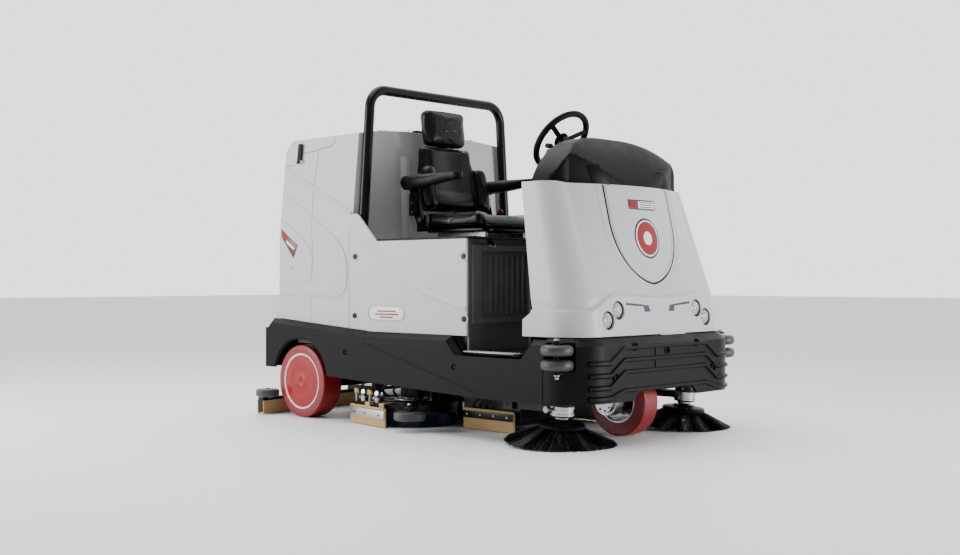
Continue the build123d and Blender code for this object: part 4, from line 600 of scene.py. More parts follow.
def tube(
    name: str,
    points: Sequence[Point],
    radius: float,
    look: Look,
    body: str,
    sides: int = 10,
    smoothing: int = 6,
    closed: bool = False,
) -> bpy.types.Object:
    """Sweep a round section along a smooth path.

    Args:
        name: Name of the piece.
        points: Control points in millimetres.
        radius: Radius of the section.
        look: Finish of the piece.
        body: CAD body it rides on.
        sides: Sides of the section.
        smoothing: Points added between two control points.
        closed: True for a loop.

    Returns:
        The new object.
    """
    control = [Vector(p) for p in points]
    path: list[Vector] = []
    count = len(control)
    last = count if closed else count - 1
    for i in range(last):
        if closed:
            p0, p1, p2, p3 = (control[(i + k) % count] for k in (-1, 0, 1, 2))
        else:
            p0 = control[max(i - 1, 0)]
            p1, p2 = control[i], control[i + 1]
            p3 = control[min(i + 2, count - 1)]
        for k in range(smoothing):
            t = k / smoothing
            path.append(
                0.5
                * (
                    2 * p1
                    + (p2 - p0) * t
                    + (2 * p0 - 5 * p1 + 4 * p2 - p3) * t * t
                    + (3 * p1 - p0 - 3 * p2 + p3) * t**3
                )
            )
    if not closed:
        path.append(control[-1])
    verts: list[Vector] = []
    faces: list[list[int]] = []
    normal: Optional[Vector] = None
    n = len(path)
    for i, p in enumerate(path):
        before = path[i - 1] if (i or closed) else p
        after = path[(i + 1) % n] if (i < n - 1 or closed) else p
        tangent = (after - before).normalized()
        if normal is None:
            normal = tangent.orthogonal().normalized()
        normal = (normal - tangent * normal.dot(tangent)).normalized()
        side = tangent.cross(normal)
        for k in range(sides):
            a = 2 * math.pi * k / sides
            verts.append(p + (normal * math.cos(a) + side * math.sin(a)) * radius)
    for i in range(n if closed else n - 1):
        j = (i + 1) % n
        for k in range(sides):
            m = (k + 1) % sides
            faces.append([i * sides + k, i * sides + m, j * sides + m, j * sides + k])
    if not closed:
        faces.append(list(range(sides)))
        faces.append(list(range((n - 1) * sides, n * sides)))
    return make_object(name, verts, faces, look, body)


def block(
    name: str,
    size: Sequence[float],
    centre: Point,
    look: Look,
    body: str,
    turn: Matrix | None = None,
    bevel_mm: float = 1.5,
    segments: int = 2,
) -> bpy.types.Object:
    """Make a box with soft edges.

    Args:
        name: Name of the piece.
        size: Length along its own X, Y and Z.
        centre: Its middle.
        look: Finish of the piece.
        body: CAD body it rides on.
        turn: Rotation of the box about its middle.
        bevel_mm: Width of its edges' rounding.
        segments: Segments of the rounding.

    Returns:
        The new object.
    """
    turn = turn or Matrix.Identity(3)
    verts = [
        Vector(centre) + turn @ Vector((x * size[0] / 2, y * size[1] / 2, z * size[2] / 2))
        for x in (-1, 1)
        for y in (-1, 1)
        for z in (-1, 1)
    ]
    faces = [[0, 1, 3, 2], [4, 6, 7, 5], [0, 4, 5, 1], [2, 3, 7, 6], [0, 2, 6, 4], [1, 5, 7, 3]]
    return make_object(name, verts, faces, look, body, bevel_mm=bevel_mm, segments=segments)


def prism(
    name: str,
    outline: Sequence[tuple[float, float]],
    origin: Point,
    across: Sequence[float],
    up: Sequence[float],
    thickness: float,
    look: Look,
    body: str,
    bevel_mm: float = 0.8,
) -> bpy.types.Object:
    """Extrude a flat outline.

    Args:
        name: Name of the piece.
        outline: Corner points in the plane of across and up.
        origin: Point of the plane where both coordinates are 0.
        across: Direction of the outline's first coordinate.
        up: Direction of the outline's second coordinate.
        thickness: Height above the plane, along across x up.
        look: Finish of the piece.
        body: CAD body it rides on.
        bevel_mm: Width of its edges' rounding.

    Returns:
        The new object.
    """
    u, v = Vector(across).normalized(), Vector(up).normalized()
    w = u.cross(v)
    base = Vector(origin)
    low = [base + u * a + v * b for a, b in outline]
    high = [p + w * thickness for p in low]
    n = len(outline)
    faces = [list(range(n))[::-1], list(range(n, 2 * n))]
    faces += [[i, (i + 1) % n, n + (i + 1) % n, n + i] for i in range(n)]
    return make_object(name, low + high, faces, look, body, bevel_mm=bevel_mm)


def ridge(
    name: str,
    path: Sequence[Sequence[float]],
    normals: Sequence[Sequence[float]],
    width: float,
    height: float,
    look: Look,
    body: str,
    sink: float = 0.6,
    flat: float = 0.0,
) -> bpy.types.Object:
    """Lay a soft raised line over a surface.

    Args:
        name: Name of the piece.
        path: Points on the surface, in millimetres.
        normals: The surface's normal at each point.
        width: Width of the line.
        height: Its height in the middle.
        look: Finish of the piece.
        body: CAD body it rides on.
        sink: How far its edges go under the surface.
        flat: Share of the width that is level on top.

    Returns:
        The new object.
    """
    steps = 8
    verts: list[Vector] = []
    faces: list[list[int]] = []
    points = [Vector(p) for p in path]
    for i, p in enumerate(points):
        before, after = points[max(i - 1, 0)], points[min(i + 1, len(points) - 1)]
        tangent = (after - before).normalized()
        up = Vector(normals[i]).normalized()
        side = tangent.cross(up).normalized()
        for k in range(steps + 1):
            t = k / steps * 2 - 1
            edge = max(0.0, (abs(t) - flat) / (1 - flat))
            lift = (height + sink) * (0.5 + 0.5 * math.cos(math.pi * edge)) - sink
            verts.append(p + side * (t * width / 2) + up * lift)
    row = steps + 1
    for i in range(len(points) - 1):
        for k in range(steps):
            faces.append([i * row + k, i * row + k + 1, (i + 1) * row + k + 1, (i + 1) * row + k])
    return make_object(name, verts, faces, look, body)


def polyline(points: Sequence[Sequence[float]], step: float) -> list[Vector]:
    """Fill a polyline with evenly spread points.

    Args:
        points: Corner points.
        step: Largest distance between two points.

    Returns:
        The denser list of points.
    """
    dense: list[Vector] = []
    for a, b in zip(points[:-1], points[1:]):
        a, b = Vector(a), Vector(b)
        count = max(1, math.ceil((b - a).length / step))
        dense += [a.lerp(b, i / count) for i in range(count)]
    dense.append(Vector(points[-1]))
    return dense


def rounded(points: Sequence[Sequence[float]], rounds: int = 3) -> list[Vector]:
    """Cut a polyline's corners until it reads as a curve.

    Args:
        points: Corner points.
        rounds: How often the corners are cut.

    Returns:
        The smoothed points.
    """
    line = [Vector(p) for p in points]
    for _ in range(rounds):
        cut = [line[0]]
        for a, b in zip(line[:-1], line[1:]):
            cut += [a.lerp(b, 0.25), a.lerp(b, 0.75)]
        cut.append(line[-1])
        line = cut
    return line


def smoothstep(low: float, high: float, value: float) -> float:
    """Ease from 0 at low to 1 at high.

    Args:
        low: Value where the result is 0.
        high: Value where the result is 1.
        value: The value.

    Returns:
        A number from 0 to 1.
    """
    t = min(max((value - low) / (high - low), 0.0), 1.0)
    return t * t * (3 - 2 * t)


# ---------------------------------------------------------------------------------------------
# Geometry Nodes
# ---------------------------------------------------------------------------------------------


@dataclass
class Scatter:
    """A Geometry Nodes scatter of one small shape over points with a direction.

    Args:
        name: Name of the piece.
        points: Where the shapes stand, in millimetres.
        directions: The way each shape points.
        look: Finish of the shapes.
        body: CAD body they ride on.
        length: Length of the shape along its direction.
        bottom: Radius at its root.
        top: Radius at its tip.
        sides: Sides of the shape.
        jitter: Share by which the length varies.
        seed: Seed of that variation.
    """

    name: str
    points: Sequence[Sequence[float]]
    directions: Sequence[Sequence[float]]
    look: Look
    body: str
    length: float
    bottom: float
    top: float
    sides: int = 4
    jitter: float = 0.0
    seed: int = 7

    def group(self) -> bpy.types.NodeTree:
        """Build the node group.

        Returns:
            The group, with named inputs for every size.
        """
        tree = bpy.data.node_groups.new(f"{self.name} scatter", "GeometryNodeTree")
        face = tree.interface
        face.new_socket("Geometry", in_out="INPUT", socket_type="NodeSocketGeometry")
        sizes = {
            "Length": self.length * SCALE,
            "Bottom radius": self.bottom * SCALE,
            "Top radius": self.top * SCALE,
            "Jitter": self.jitter,
        }
        for label, value in sizes.items():
            socket = face.new_socket(label, in_out="INPUT", socket_type="NodeSocketFloat")
            socket.default_value = value
        for label, value in {"Sides": self.sides, "Seed": self.seed}.items():
            socket = face.new_socket(label, in_out="INPUT", socket_type="NodeSocketInt")
            socket.default_value = value
        face.new_socket("Geometry", in_out="OUTPUT", socket_type="NodeSocketGeometry")
        given = add_node(tree, "NodeGroupInput")
        shape = add_node(
            tree,
            "GeometryNodeMeshCone",
            {"fill_type": "NGON"},
            Vertices=given.outputs["Sides"],
            Radius_Top=given.outputs["Top radius"],
            Radius_Bottom=given.outputs["Bottom radius"],
            Depth=given.outputs["Length"],
        )
        facing = add_node(
            tree, "GeometryNodeInputNamedAttribute", {"data_type": "FLOAT_VECTOR"}, Name="facing"
        )
        align = add_node(
            tree,
            "FunctionNodeAlignRotationToVector",
            {"axis": "Z"},
            Vector=facing.outputs["Attribute"],
        )
        low = add_node(tree, "ShaderNodeMath", {"operation": "SUBTRACT"})
        low.inputs[0].default_value = 1.0
        tree.links.new(given.outputs["Jitter"], low.inputs[1])
        vary = add_node(
            tree,
            "FunctionNodeRandomValue",
            {"data_type": "FLOAT"},
            Seed=given.outputs["Seed"],
        )
        tree.links.new(low.outputs[0], vary.inputs[2])
        vary.inputs[3].default_value = 1.0
        size = add_node(tree, "ShaderNodeCombineXYZ", X=1.0, Y=1.0, Z=vary.outputs[1])
        spread = add_node(
            tree,
            "GeometryNodeInstanceOnPoints",
            Points=given.outputs["Geometry"],
            Instance=shape.outputs["Mesh"],
            Rotation=align.outputs["Rotation"],
            Scale=size.outputs["Vector"],
        )
        real = add_node(tree, "GeometryNodeRealizeInstances", Geometry=spread.outputs["Instances"])
        paint = add_node(
            tree,
            "GeometryNodeSetMaterial",
            Geometry=real.outputs["Geometry"],
            Material=self.look.material,
        )
        out = add_node(tree, "NodeGroupOutput")
        tree.links.new(paint.outputs["Geometry"], out.inputs["Geometry"])
        return tree

    def build(self) -> bpy.types.Object:
        """Scatter the shapes and turn the result into a plain mesh.

        Returns:
            The mesh object, riding on its body.
        """
        seedbed = bpy.data.meshes.new(f"{self.name} points")
        seedbed.from_pydata([tuple(c * SCALE for c in p) for p in self.points], [], [])
        facing = seedbed.attributes.new("facing", "FLOAT_VECTOR", "POINT")
        for i, d in enumerate(self.directions):
            facing.data[i].vector = Vector(d).normalized()
        carrier = bpy.data.objects.new(f"{self.name} carrier", seedbed)
        bpy.context.scene.collection.objects.link(carrier)
        modifier = carrier.modifiers.new("scatter", "NODES")
        modifier.node_group = self.group()
        bpy.context.view_layer.update()
        graph = bpy.context.evaluated_depsgraph_get()
        mesh = bpy.data.meshes.new_from_object(carrier.evaluated_get(graph), depsgraph=graph)
        carrier.modifiers.remove(modifier)
        bpy.data.objects.remove(carrier)
        obj = bpy.data.objects.new(self.name, mesh)
        mesh.name = self.name
        bpy.context.scene.collection.objects.link(obj)
        if not mesh.materials:
            mesh.materials.append(self.look.material)
        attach(obj, self.body)
        return obj


# ---------------------------------------------------------------------------------------------
# Sub-assemblies
# ---------------------------------------------------------------------------------------------


@dataclass
class Assembly:
    """A sub-assembly: CAD nodes it paints and pieces it adds.

    Args:
        paints: Finish of each CAD node that stays visible.
    """

    frame: dict
    paints: dict[str, Look] = field(default_factory=dict)

    def paint(self) -> None:
        """Give each listed CAD node its finish."""
        for node, look in self.paints.items():
            mesh = self.frame["nodes"][node].data
            mesh.materials.clear()
            mesh.materials.append(look.material)
            for polygon in mesh.polygons:
                polygon.material_index = 0

    def build(self) -> None:
        """Add the visual pieces."""

    def dress(self) -> None:
        """Paint the CAD nodes, then add the pieces."""
        LOG.info("dressing %s", type(self).__name__)
        self.paint()
        self.build()


@dataclass
class Chassis(Assembly):
    """Frame, skirts, bumpers, floor and everything hidden in the body."""

    def __post_init__(self) -> None:
        """List the CAD nodes' finishes."""
        self.paints = {
            "main_frame": Look.FRAME,
            "skirt_right": Look.TRIM,
            "skirt_left": Look.TRIM,
            "front_bumper": Look.TRIM,
            "rear_bumper": Look.TRIM,
            "seat_deck": Look.TRIM,
            "kick_panel": Look.KICK,
            "floor_pan": Look.FRAME,
            "battery_pack": Look.CASE,
            "vacuum_motor": Look.ALLOY,
            "guard_hoop": Look.FRAME,
            "solution_tank": Look.NATURAL,
            "sweeper_housing": Look.FRAME,
        }

    def build(self) -> None:
        """Add creases, ridges, treads and small fittings."""
        self.creases()
        self.bumper_ridges()
        self.tread()
        self.fittings()

    def creases(self) -> None:
        """Lay the diagonal crease over each skirt."""
        for name, side in SIDES:
            line = polyline([(-300, side * 650, 434), (646, side * 650, 200)], 60)
            ridge(
                f"skirt_crease_{name}",
                line,
                [(0, side, 0)] * len(line),
                11,
                4.2,
                Look.TRIM,
                "chassis",
            )
            upper = polyline(
                [(-1120, side * 650, 470), (-300, side * 650, 434), (310, side * 650, 430)], 60
            )
            ridge(
                f"skirt_line_{name}",
                upper,
                [(0, side, 0)] * len(upper),
                10,
                1.2,
                Look.TRIM,
                "chassis",
            )
            for x, z in ((-439, 376), (378, 339)):
                lathe(
                    f"skirt_screw_{name}_{x}".replace("-", "m"),
                    [(0, 0), (8, 0), (8, 4), (4, 4), (4, 1.5), (0, 1.5)],
                    (x, side * 643, z),
                    (0, side, 0),
                    Look.SCREW,
                    "chassis",
                    24,
                )
                lathe(
                    f"skirt_cup_{name}_{x}".replace("-", "m"),
                    [(14.5, -6), (20, 0.2), (19, 1.2), (14.5, 0.6), (13.4, -6)],
                    (x, side * 650, z),
                    (0, side, 0),
                    Look.TRIM,
                    "chassis",
                    32,
                )

    @staticmethod
    def bumper_point(travel: float, out: float) -> tuple[Vector, Vector]:
        """Find a point on the bumper's outline.

        Args:
            travel: Distance from the middle along the outline, negative to the right.
            out: Distance in front of the face.

        Returns:
            The point at height 0 and the outline's normal there.
        """
        front, corner, radius = 1168.0, 458.0, 190.0
        side = 1 if travel >= 0 else -1
        reach = abs(travel)
        if reach <= corner:
            return Vector((front + out, side * reach, 0)), Vector((1, 0, 0))
        angle = min((reach - corner) / radius, math.pi / 2)
        normal = Vector((math.cos(angle), side * math.sin(angle), 0))
        centre = Vector((front - radius, side * corner, 0))
        return centre + normal * (radius + out), normal

    def bumper_ridges(self) -> None:
        """Lay the four zig-zag ridges round the front bumper."""
        for i, top in enumerate((452.0, 396.0, 341.0, 256.0)):
            drop = 66.0 if i < 3 else 30.0
            stops = [
                (-560.0, top - drop),
                (-433.0, top - drop),
                (-329.0, top),
                (329.0, top),
                (433.0, top - drop),
                (560.0, top - drop),
            ]
            line, normals = [], []
            for a, b in zip(stops[:-1], stops[1:]):
                count = max(2, int(abs(b[0] - a[0]) / 14))
                for k in range(count + (b is stops[-1])):
                    t = k / count
                    point, normal = self.bumper_point(a[0] + (b[0] - a[0]) * t, 0.0)
                    point.z = a[1] + (b[1] - a[1]) * t
                    line.append(point)
                    normals.append(normal)
            ridge(f"bumper_ridge_{i}", line, normals, 26, 9.0, Look.TRIM, "chassis", 2.0, 0.45)
        for y, low, high in ((-92, 408, 440), (-92, 353, 384)):
            block(
                f"bumper_bar_{low}", (8, 9, high - low), (
                    1171, y, (low + high) / 2
                ), Look.TRIM, "chassis"
            )
        for y, z in ((0, 429), (-250, 455), (250, 455), (-395, 322), (395, 322)):
            lathe(
                f"bumper_cup_{y}_{z}".replace("-", "m"),
                [(13.2, -12), (13.4, 3), (18, 6), (21, 4), (22, -4)],
                (1169, y, z),
                (1, 0, 0),
                Look.TRIM,
                "chassis",
                32,
            )

    def tread(self) -> None:
        """Cover the steps with chequer plate and the floor with a studded mat."""
        for name, side in SIDES:
            block(
                f"step_plate_{name}",
                (330, 62, 3),
                (600, side * 612, 418.2),
                Look.CHEQUER,
                "chassis",
                bevel_mm=1.0,
            )
            points, ways = [], []
            for i in range(20):
                for j in range(4):
                    points.append((445 + i * 16.3, side * (588 + j * 16), 419.6))
                    ways.append((0, 0, 1))
            Scatter(
                f"step_studs_{name}", points, ways, Look.CHEQUER, "chassis", 2.2, 5.0, 2.5, 8
            ).build()
        block("floor_mat", (300, 1120, 3), (595, 0, 417.6), Look.TRIM, "chassis", bevel_mm=1.0)
        points = [(455 + i * 24, -540 + j * 24, 419.0) for i in range(13) for j in range(46)]
        points = [p for p in points if abs(abs(p[1]) - 120) > 45]
        Scatter(
            "floor_mat_studs",
            points,
            [(0, 0, 1)] * len(points),
            Look.TRIM,
            "chassis",
            2.0,
            5.0,
            4.0,
            8,
        ).build()

    def fittings(self) -> None:
        """Add roller bolts, the deck catch, nuts and the hoop's bolts."""
        for name, side in SIDES:
            lathe(
                f"roller_nut_{name}",
                [(0, 0), (13, 0), (15, 3), (15, 9), (12, 12), (0, 12)],
                (1040, side * 657, 489),
                (0, 0, 1),
                Look.ZINC,
                "chassis",
                6,
            )
            lathe(
                f"roller_foot_{name}",
                [(0, 0), (14, 0), (14, 8), (9, 12), (9, 22), (0, 24)],
                (1040, side * 657, 341),
                (0, 0, -1),
                Look.ZINC,
                "chassis",
                24,
            )
            for z in (382.5, 448.5):
                wheel = lathe(
                    f"corner_roller_{name}_{int(z)}",
                    [
                        (13.2, -22), (30, -22), (36, -24.5),
                        (56, -24), (67, -20), (73.5, -12), (75, 0),
                        (73.5, 12), (67, 20), (56, 24), (36, 24.5), (30, 22), (13.2, 22),
                    ],
                    (1040, side * 657, z),
                    (0, 0, 1),
                    Look.ROLLER,
                    f"corner_rollers_{name}_body",
                    64,
                )
            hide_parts(f"corner_rollers_{name}")
            for k, x in enumerate((-418, -382)):
                lathe(
                    f"hoop_bolt_{name}_{k}",
                    [(0, 0), (8, 0), (8, 6), (0, 6)],
                    (x, side * (562 + 26), 985),
                    (0, 0, 1),
                    Look.ZINC,
                    "chassis",
                    6,
                )
        block("deck_catch", (14, 40, 26), (453, -461, 946), Look.SCREW, "chassis")
        tube(
            "deck_catch_loop",
            [(452, -476, 940), (464, -476, 925), (464, -446, 925), (452, -446, 940)],
            2.5,
            Look.ZINC,
            "chassis",
        )
        line = polyline([(441, -606, 966), (449, -590, 966), (449, 590, 966), (441, 606, 966)], 60)
        tube("deck_edge", [tuple(p) for p in line], 5.0, Look.TRIM, "chassis", smoothing=1)


@dataclass
class TankBody(Assembly):
    """Rear body: recovery tank, lid, latch, side panels."""

    def __post_init__(self) -> None:
        """List the CAD nodes' finishes."""
        self.paints = {
            "recovery_tank": Look.BODY,
            "lid_latch": Look.TRIM,
            "side_panel_right": Look.BODY,
            "side_panel_left": Look.BODY,
            "panel_fasteners": Look.SCREW,
        }

    @staticmethod
    def flank(x: float, z: float, side: int) -> Vector:
        """Point on the tank's flank.

        Args:
            x: Position along the machine.
            z: Height.
            side: -1 for right, 1 for left.

        Returns:
            The point on the surface.
        """
        half = BODY_HALF - max(0.0, z - 1010.0) * 0.0963
        return Vector((x, side * half, z))

    @staticmethod
    def flank_normal(z: float, side: int) -> Vector:
        """Normal of the flank at a height.

        Args:
            z: Height.
            side: -1 for right, 1 for left.

        Returns:
            The outward normal.
        """
        return Vector((0, side, 0.0963 if z > 1010 else 0.0)).normalized()

    def line(
        self,
        name: str,
        points: Sequence[tuple[float, float]],
        width: float,
        height: float,
        side: int,
    ) -> None:
        """Lay one crease on the flank.

        Args:
            name: Name of the piece.
            points: X and Z of its corners.
            width: Width of the crease.
            height: Height of the crease.
            side: -1 for right, 1 for left.
        """
        soft = rounded([(x, 0, z) for x, z in points], 3)
        path = [self.flank(p.x, p.z, side) for p in polyline(soft, 30)]
        normals = [self.flank_normal(p.z, side) for p in path]
        ridge(name, path, normals, width, height, Look.BODY, "chassis")

    def build(self) -> None:
        """Add moulded lines, flutes, plates, the roof's fittings, the bevelled lid and the
        fasteners' cups.
        """
        for name, side in SIDES:
            self.line(f"tank_band_{name}", [(-1062, 1392), (-448, 1117)], 40, 6.5, side)
            self.line(
                f"tank_sweep_{name}",
                [
                    (-1066, 1250),
                    (-1028, 1239),
                    (-779, 1119),
                    (-560, 985),
                    (-500, 930),
                    (-472, 840),
                    (-472, 730),
                    (-510, 678),
                    (-600, 674),
                    (-1066, 677),
                ],
                16,
                5.5,
                side,
            )
            self.line(
                f"tank_upright_{name}",
                [(-768, 1492), (-773, 1400), (-790, 1280), (-786, 1100), (-765, 920)],
                10,
                3.2,
                side,
            )
            self.line(f"tank_foot_{name}", [(-782, 660), (-782, 512)], 10, 3.0, side)
            self.line(
                f"tank_pocket_{name}",
                [
                    (-1066, 1108),
                    (-950, 1045),
                    (-800, 945),
                    (-766, 900),
                    (-772, 790),
                    (-800, 748),
                    (-1066, 742),
                ],
                16,
                5.0,
                side,
            )
            self.line(f"tank_shelf_{name}", [(-1066, 826), (-950, 826)], 20, 5.0, side)
            path = polyline(
                rounded([(-343, 0, 985), (-94, 0, 808), (107, 0, 699), (422, 0, 624)], 3), 30
            )
            ridge(
                f"panel_sweep_{name}",
                [(p.x, side * 610, p.z) for p in path],
                [(0, side, 0)] * len(path),
                40,
                4.5,
                Look.BODY,
                "chassis",
            )
            self.plates(name, side)
        self.front_wall()
        self.roof()
        self.lid()
        self.fastener_cups()

    def lid(self) -> None:
        """Replace the lid by a copy with a bevelled rear corner."""
        mesh = self.frame["nodes"]["tank_lid"].data.copy()
        work = bmesh.new()
        work.from_mesh(mesh)
        bmesh.ops.remove_doubles(work, verts=work.verts, dist=1e-5)
        cut = bmesh.ops.bisect_plane(
            work,
            geom=list(work.verts) + list(work.edges) + list(work.faces),
            plane_co=mm(-1005, 0, 1556),
            plane_no=Vector((-107, 0, 95)).normalized(),
            clear_outer=True,
        )
        rim = [e for e in cut["geom_cut"] if isinstance(e, bmesh.types.BMEdge)]
        bmesh.ops.triangle_fill(work, edges=rim, use_beauty=True)
        bmesh.ops.recalc_face_normals(work, faces=work.faces)
        work.to_mesh(mesh)
        work.free()
        lid = bpy.data.objects.new("lid_shell", mesh)
        bpy.context.scene.collection.objects.link(lid)
        mesh.materials.clear()
        mesh.materials.append(Look.BODY.material)
        for polygon in mesh.polygons:
            polygon.material_index = 0
        mesh.shade_smooth()
        mesh.set_sharp_from_angle(angle=math.radians(30))
        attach(lid, "lid")
        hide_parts("tank_lid")

    def fastener_cups(self) -> None:
        """Add the recessed washers round the side panels' fasteners."""
        for name, side in SIDES:
            for k, (x, z) in enumerate(((-401, 885), (410, 877), (-404, 571), (413, 572))):
                lathe(
                    f"panel_cup_{name}_{k}",
                    [(14.6, 0.4), (18, 2.6), (24, 2.6), (26, 0.2), (26, -1), (14.6, -1)],
                    (x, side * 610, z),
                    (0, side, 0),
                    Look.BODY,
                    "chassis",
                    40,
                )

    def plates(self, name: str, side: int) -> None:
        """Add the blank pill plate and the blank wedge decal.

        Args:
            name: right or left.
            side: -1 for right, 1 for left.
        """
        pill = []
        for k in range(33):
            a = -math.pi / 2 + math.pi * k / 32
            pill.append((101 + 37 * math.cos(a), 37 * math.sin(a)))
        for k in range(33):
            a = math.pi / 2 + math.pi * k / 32
            pill.append((-101 + 37 * math.cos(a), 37 * math.sin(a)))
        across = (1, 0, 0) if side < 0 else (-1, 0, 0)
        prism(
            f"pill_rim_{name}",
            pill,
            (-154, side * 607.6, 588),
            across,
            (0, 0, 1),
            3.4,
            Look.BODY,
            "chassis",
            1.0,
        )
        inner = [(x * 0.93, z * 0.84) for x, z in pill]
        prism(
            f"pill_face_{name}", inner, (
                -154, side * 610.6, 588
            ), across, (0, 0, 1), 0.8, Look.WHITE, "chassis", 0.3
        )
        for k, (length, z) in enumerate(((150, 10), (190, -6), (110, -21))):
            bar = [
                (-length / 2, z - 4),
                (length / 2 - 6, z - 4),
                (length / 2, z + 4),
                (-length / 2 + 6, z + 4),
            ]
            prism(
                f"pill_bar_{name}_{k}",
                bar,
                (-154, side * 611.2, 590),
                across,
                (0, 0, 1),
                0.6,
                Look.RED,
                "chassis",
                0.2,
            )
        wedge = [(-1055, 1049), (-898, 954), (-939, 881), (-1048, 1002)]
        self.wedge(f"wedge_base_{name}", wedge, side, 0.4, Look.INK)
        self.wedge(
            f"wedge_face_{name}", [
                (-1045, 1034), (-912, 953), (-936, 905), (-1040, 1004)
            ], side, 1.0, Look.RED
        )
        self.wedge(
            f"wedge_bar_{name}", [
                (-1002, 985), (-930, 940), (-936, 926), (-1006, 971)
            ], side, 1.6, Look.WHITE
        )

    def wedge(
        self, name: str, corners: Sequence[tuple[float, float]], side: int, lift: float, look: Look
    ) -> None:
        """Lay one thin polygon on the tank's flank.

        Args:
            name: Name of the piece.
            corners: X and Z of its corners.
            side: -1 for right, 1 for left.
            lift: Height above the flank.
            look: Its finish.
        """
        across = (1, 0, 0) if side < 0 else (-1, 0, 0)
        outline = [(x * (1 if side < 0 else -1), z) for x, z in corners]
        prism(
            name,
            outline,
            (0, side * (610 + lift - 0.5), 0),
            across,
            (0, 0, 1),
            0.6,
            look,
            "chassis",
            0.2,
        )

    def front_wall(self) -> None:
        """Add the two flutes in the wall behind the seat."""
        reach, deep = 503.0, 75.0
        radius = (reach**2 + deep**2) / (2 * deep)
        for name, side in SIDES:
            path, normals = [], []
            y = side * 150.0
            x = -435.0 - deep + (radius - math.sqrt(radius**2 - y**2))
            for k in range(30):
                t = k / 29
                z = 985 + t * 470
                path.append((x - 1, y + side * 14 * t, z))
                normals.append((1, -side * 0.2, 0))
            ridge(f"tank_flute_{name}", path, normals, 84, 26, Look.BODY, "chassis", 1.0, 0.3)
            path = [(p[0] - 8, y + side * 165, p[2]) for p in path]
            ridge(f"tank_flank_flute_{name}", path, normals, 80, 10, Look.BODY, "chassis", 1.0)

    def roof(self) -> None:
        """Add the beacon on its base, a bracket and three roof screws."""
        lathe(
            "beacon",
            [(0, 34), (14, 33), (24, 27), (30, 16), (32, 0), (0, 0)],
            (-470, 60, 1597),
            (0, 0, 1),
            Look.RED,
            "chassis",
            40,
        )
        lathe(
            "beacon_base",
            [(0, 6), (36, 6), (38, 0), (38, -8), (0, -8)],
            (-470, 60, 1597),
            (0, 0, 1),
            Look.TRIM,
            "chassis",
            40,
        )
        block("roof_bracket", (40, 90, 8), (-478, -70, 1599), Look.TRIM, "chassis")
        for y in (-160, 180, 330):
            lathe(
                f"roof_screw_{y}".replace("-", "m"),
                [(0, 4), (7, 4), (9, 0), (0, 0)],
                (-470, y, 1600 - 50 * (y / 558) ** 2 - 1),
                (0, 0, 1),
                Look.ZINC,
                "chassis",
                20,
            )


@dataclass(frozen=True)
class NoseLevel:
    """One level of the cowl's outline.

    Args:
        z: Height.
        front: X of the middle of the front.
        half: Half width.
        corner: Corner radius.
        bow: How far the front bows out between its corners.
    """

    z: float
    front: float
    half: float
    corner: float
    bow: float


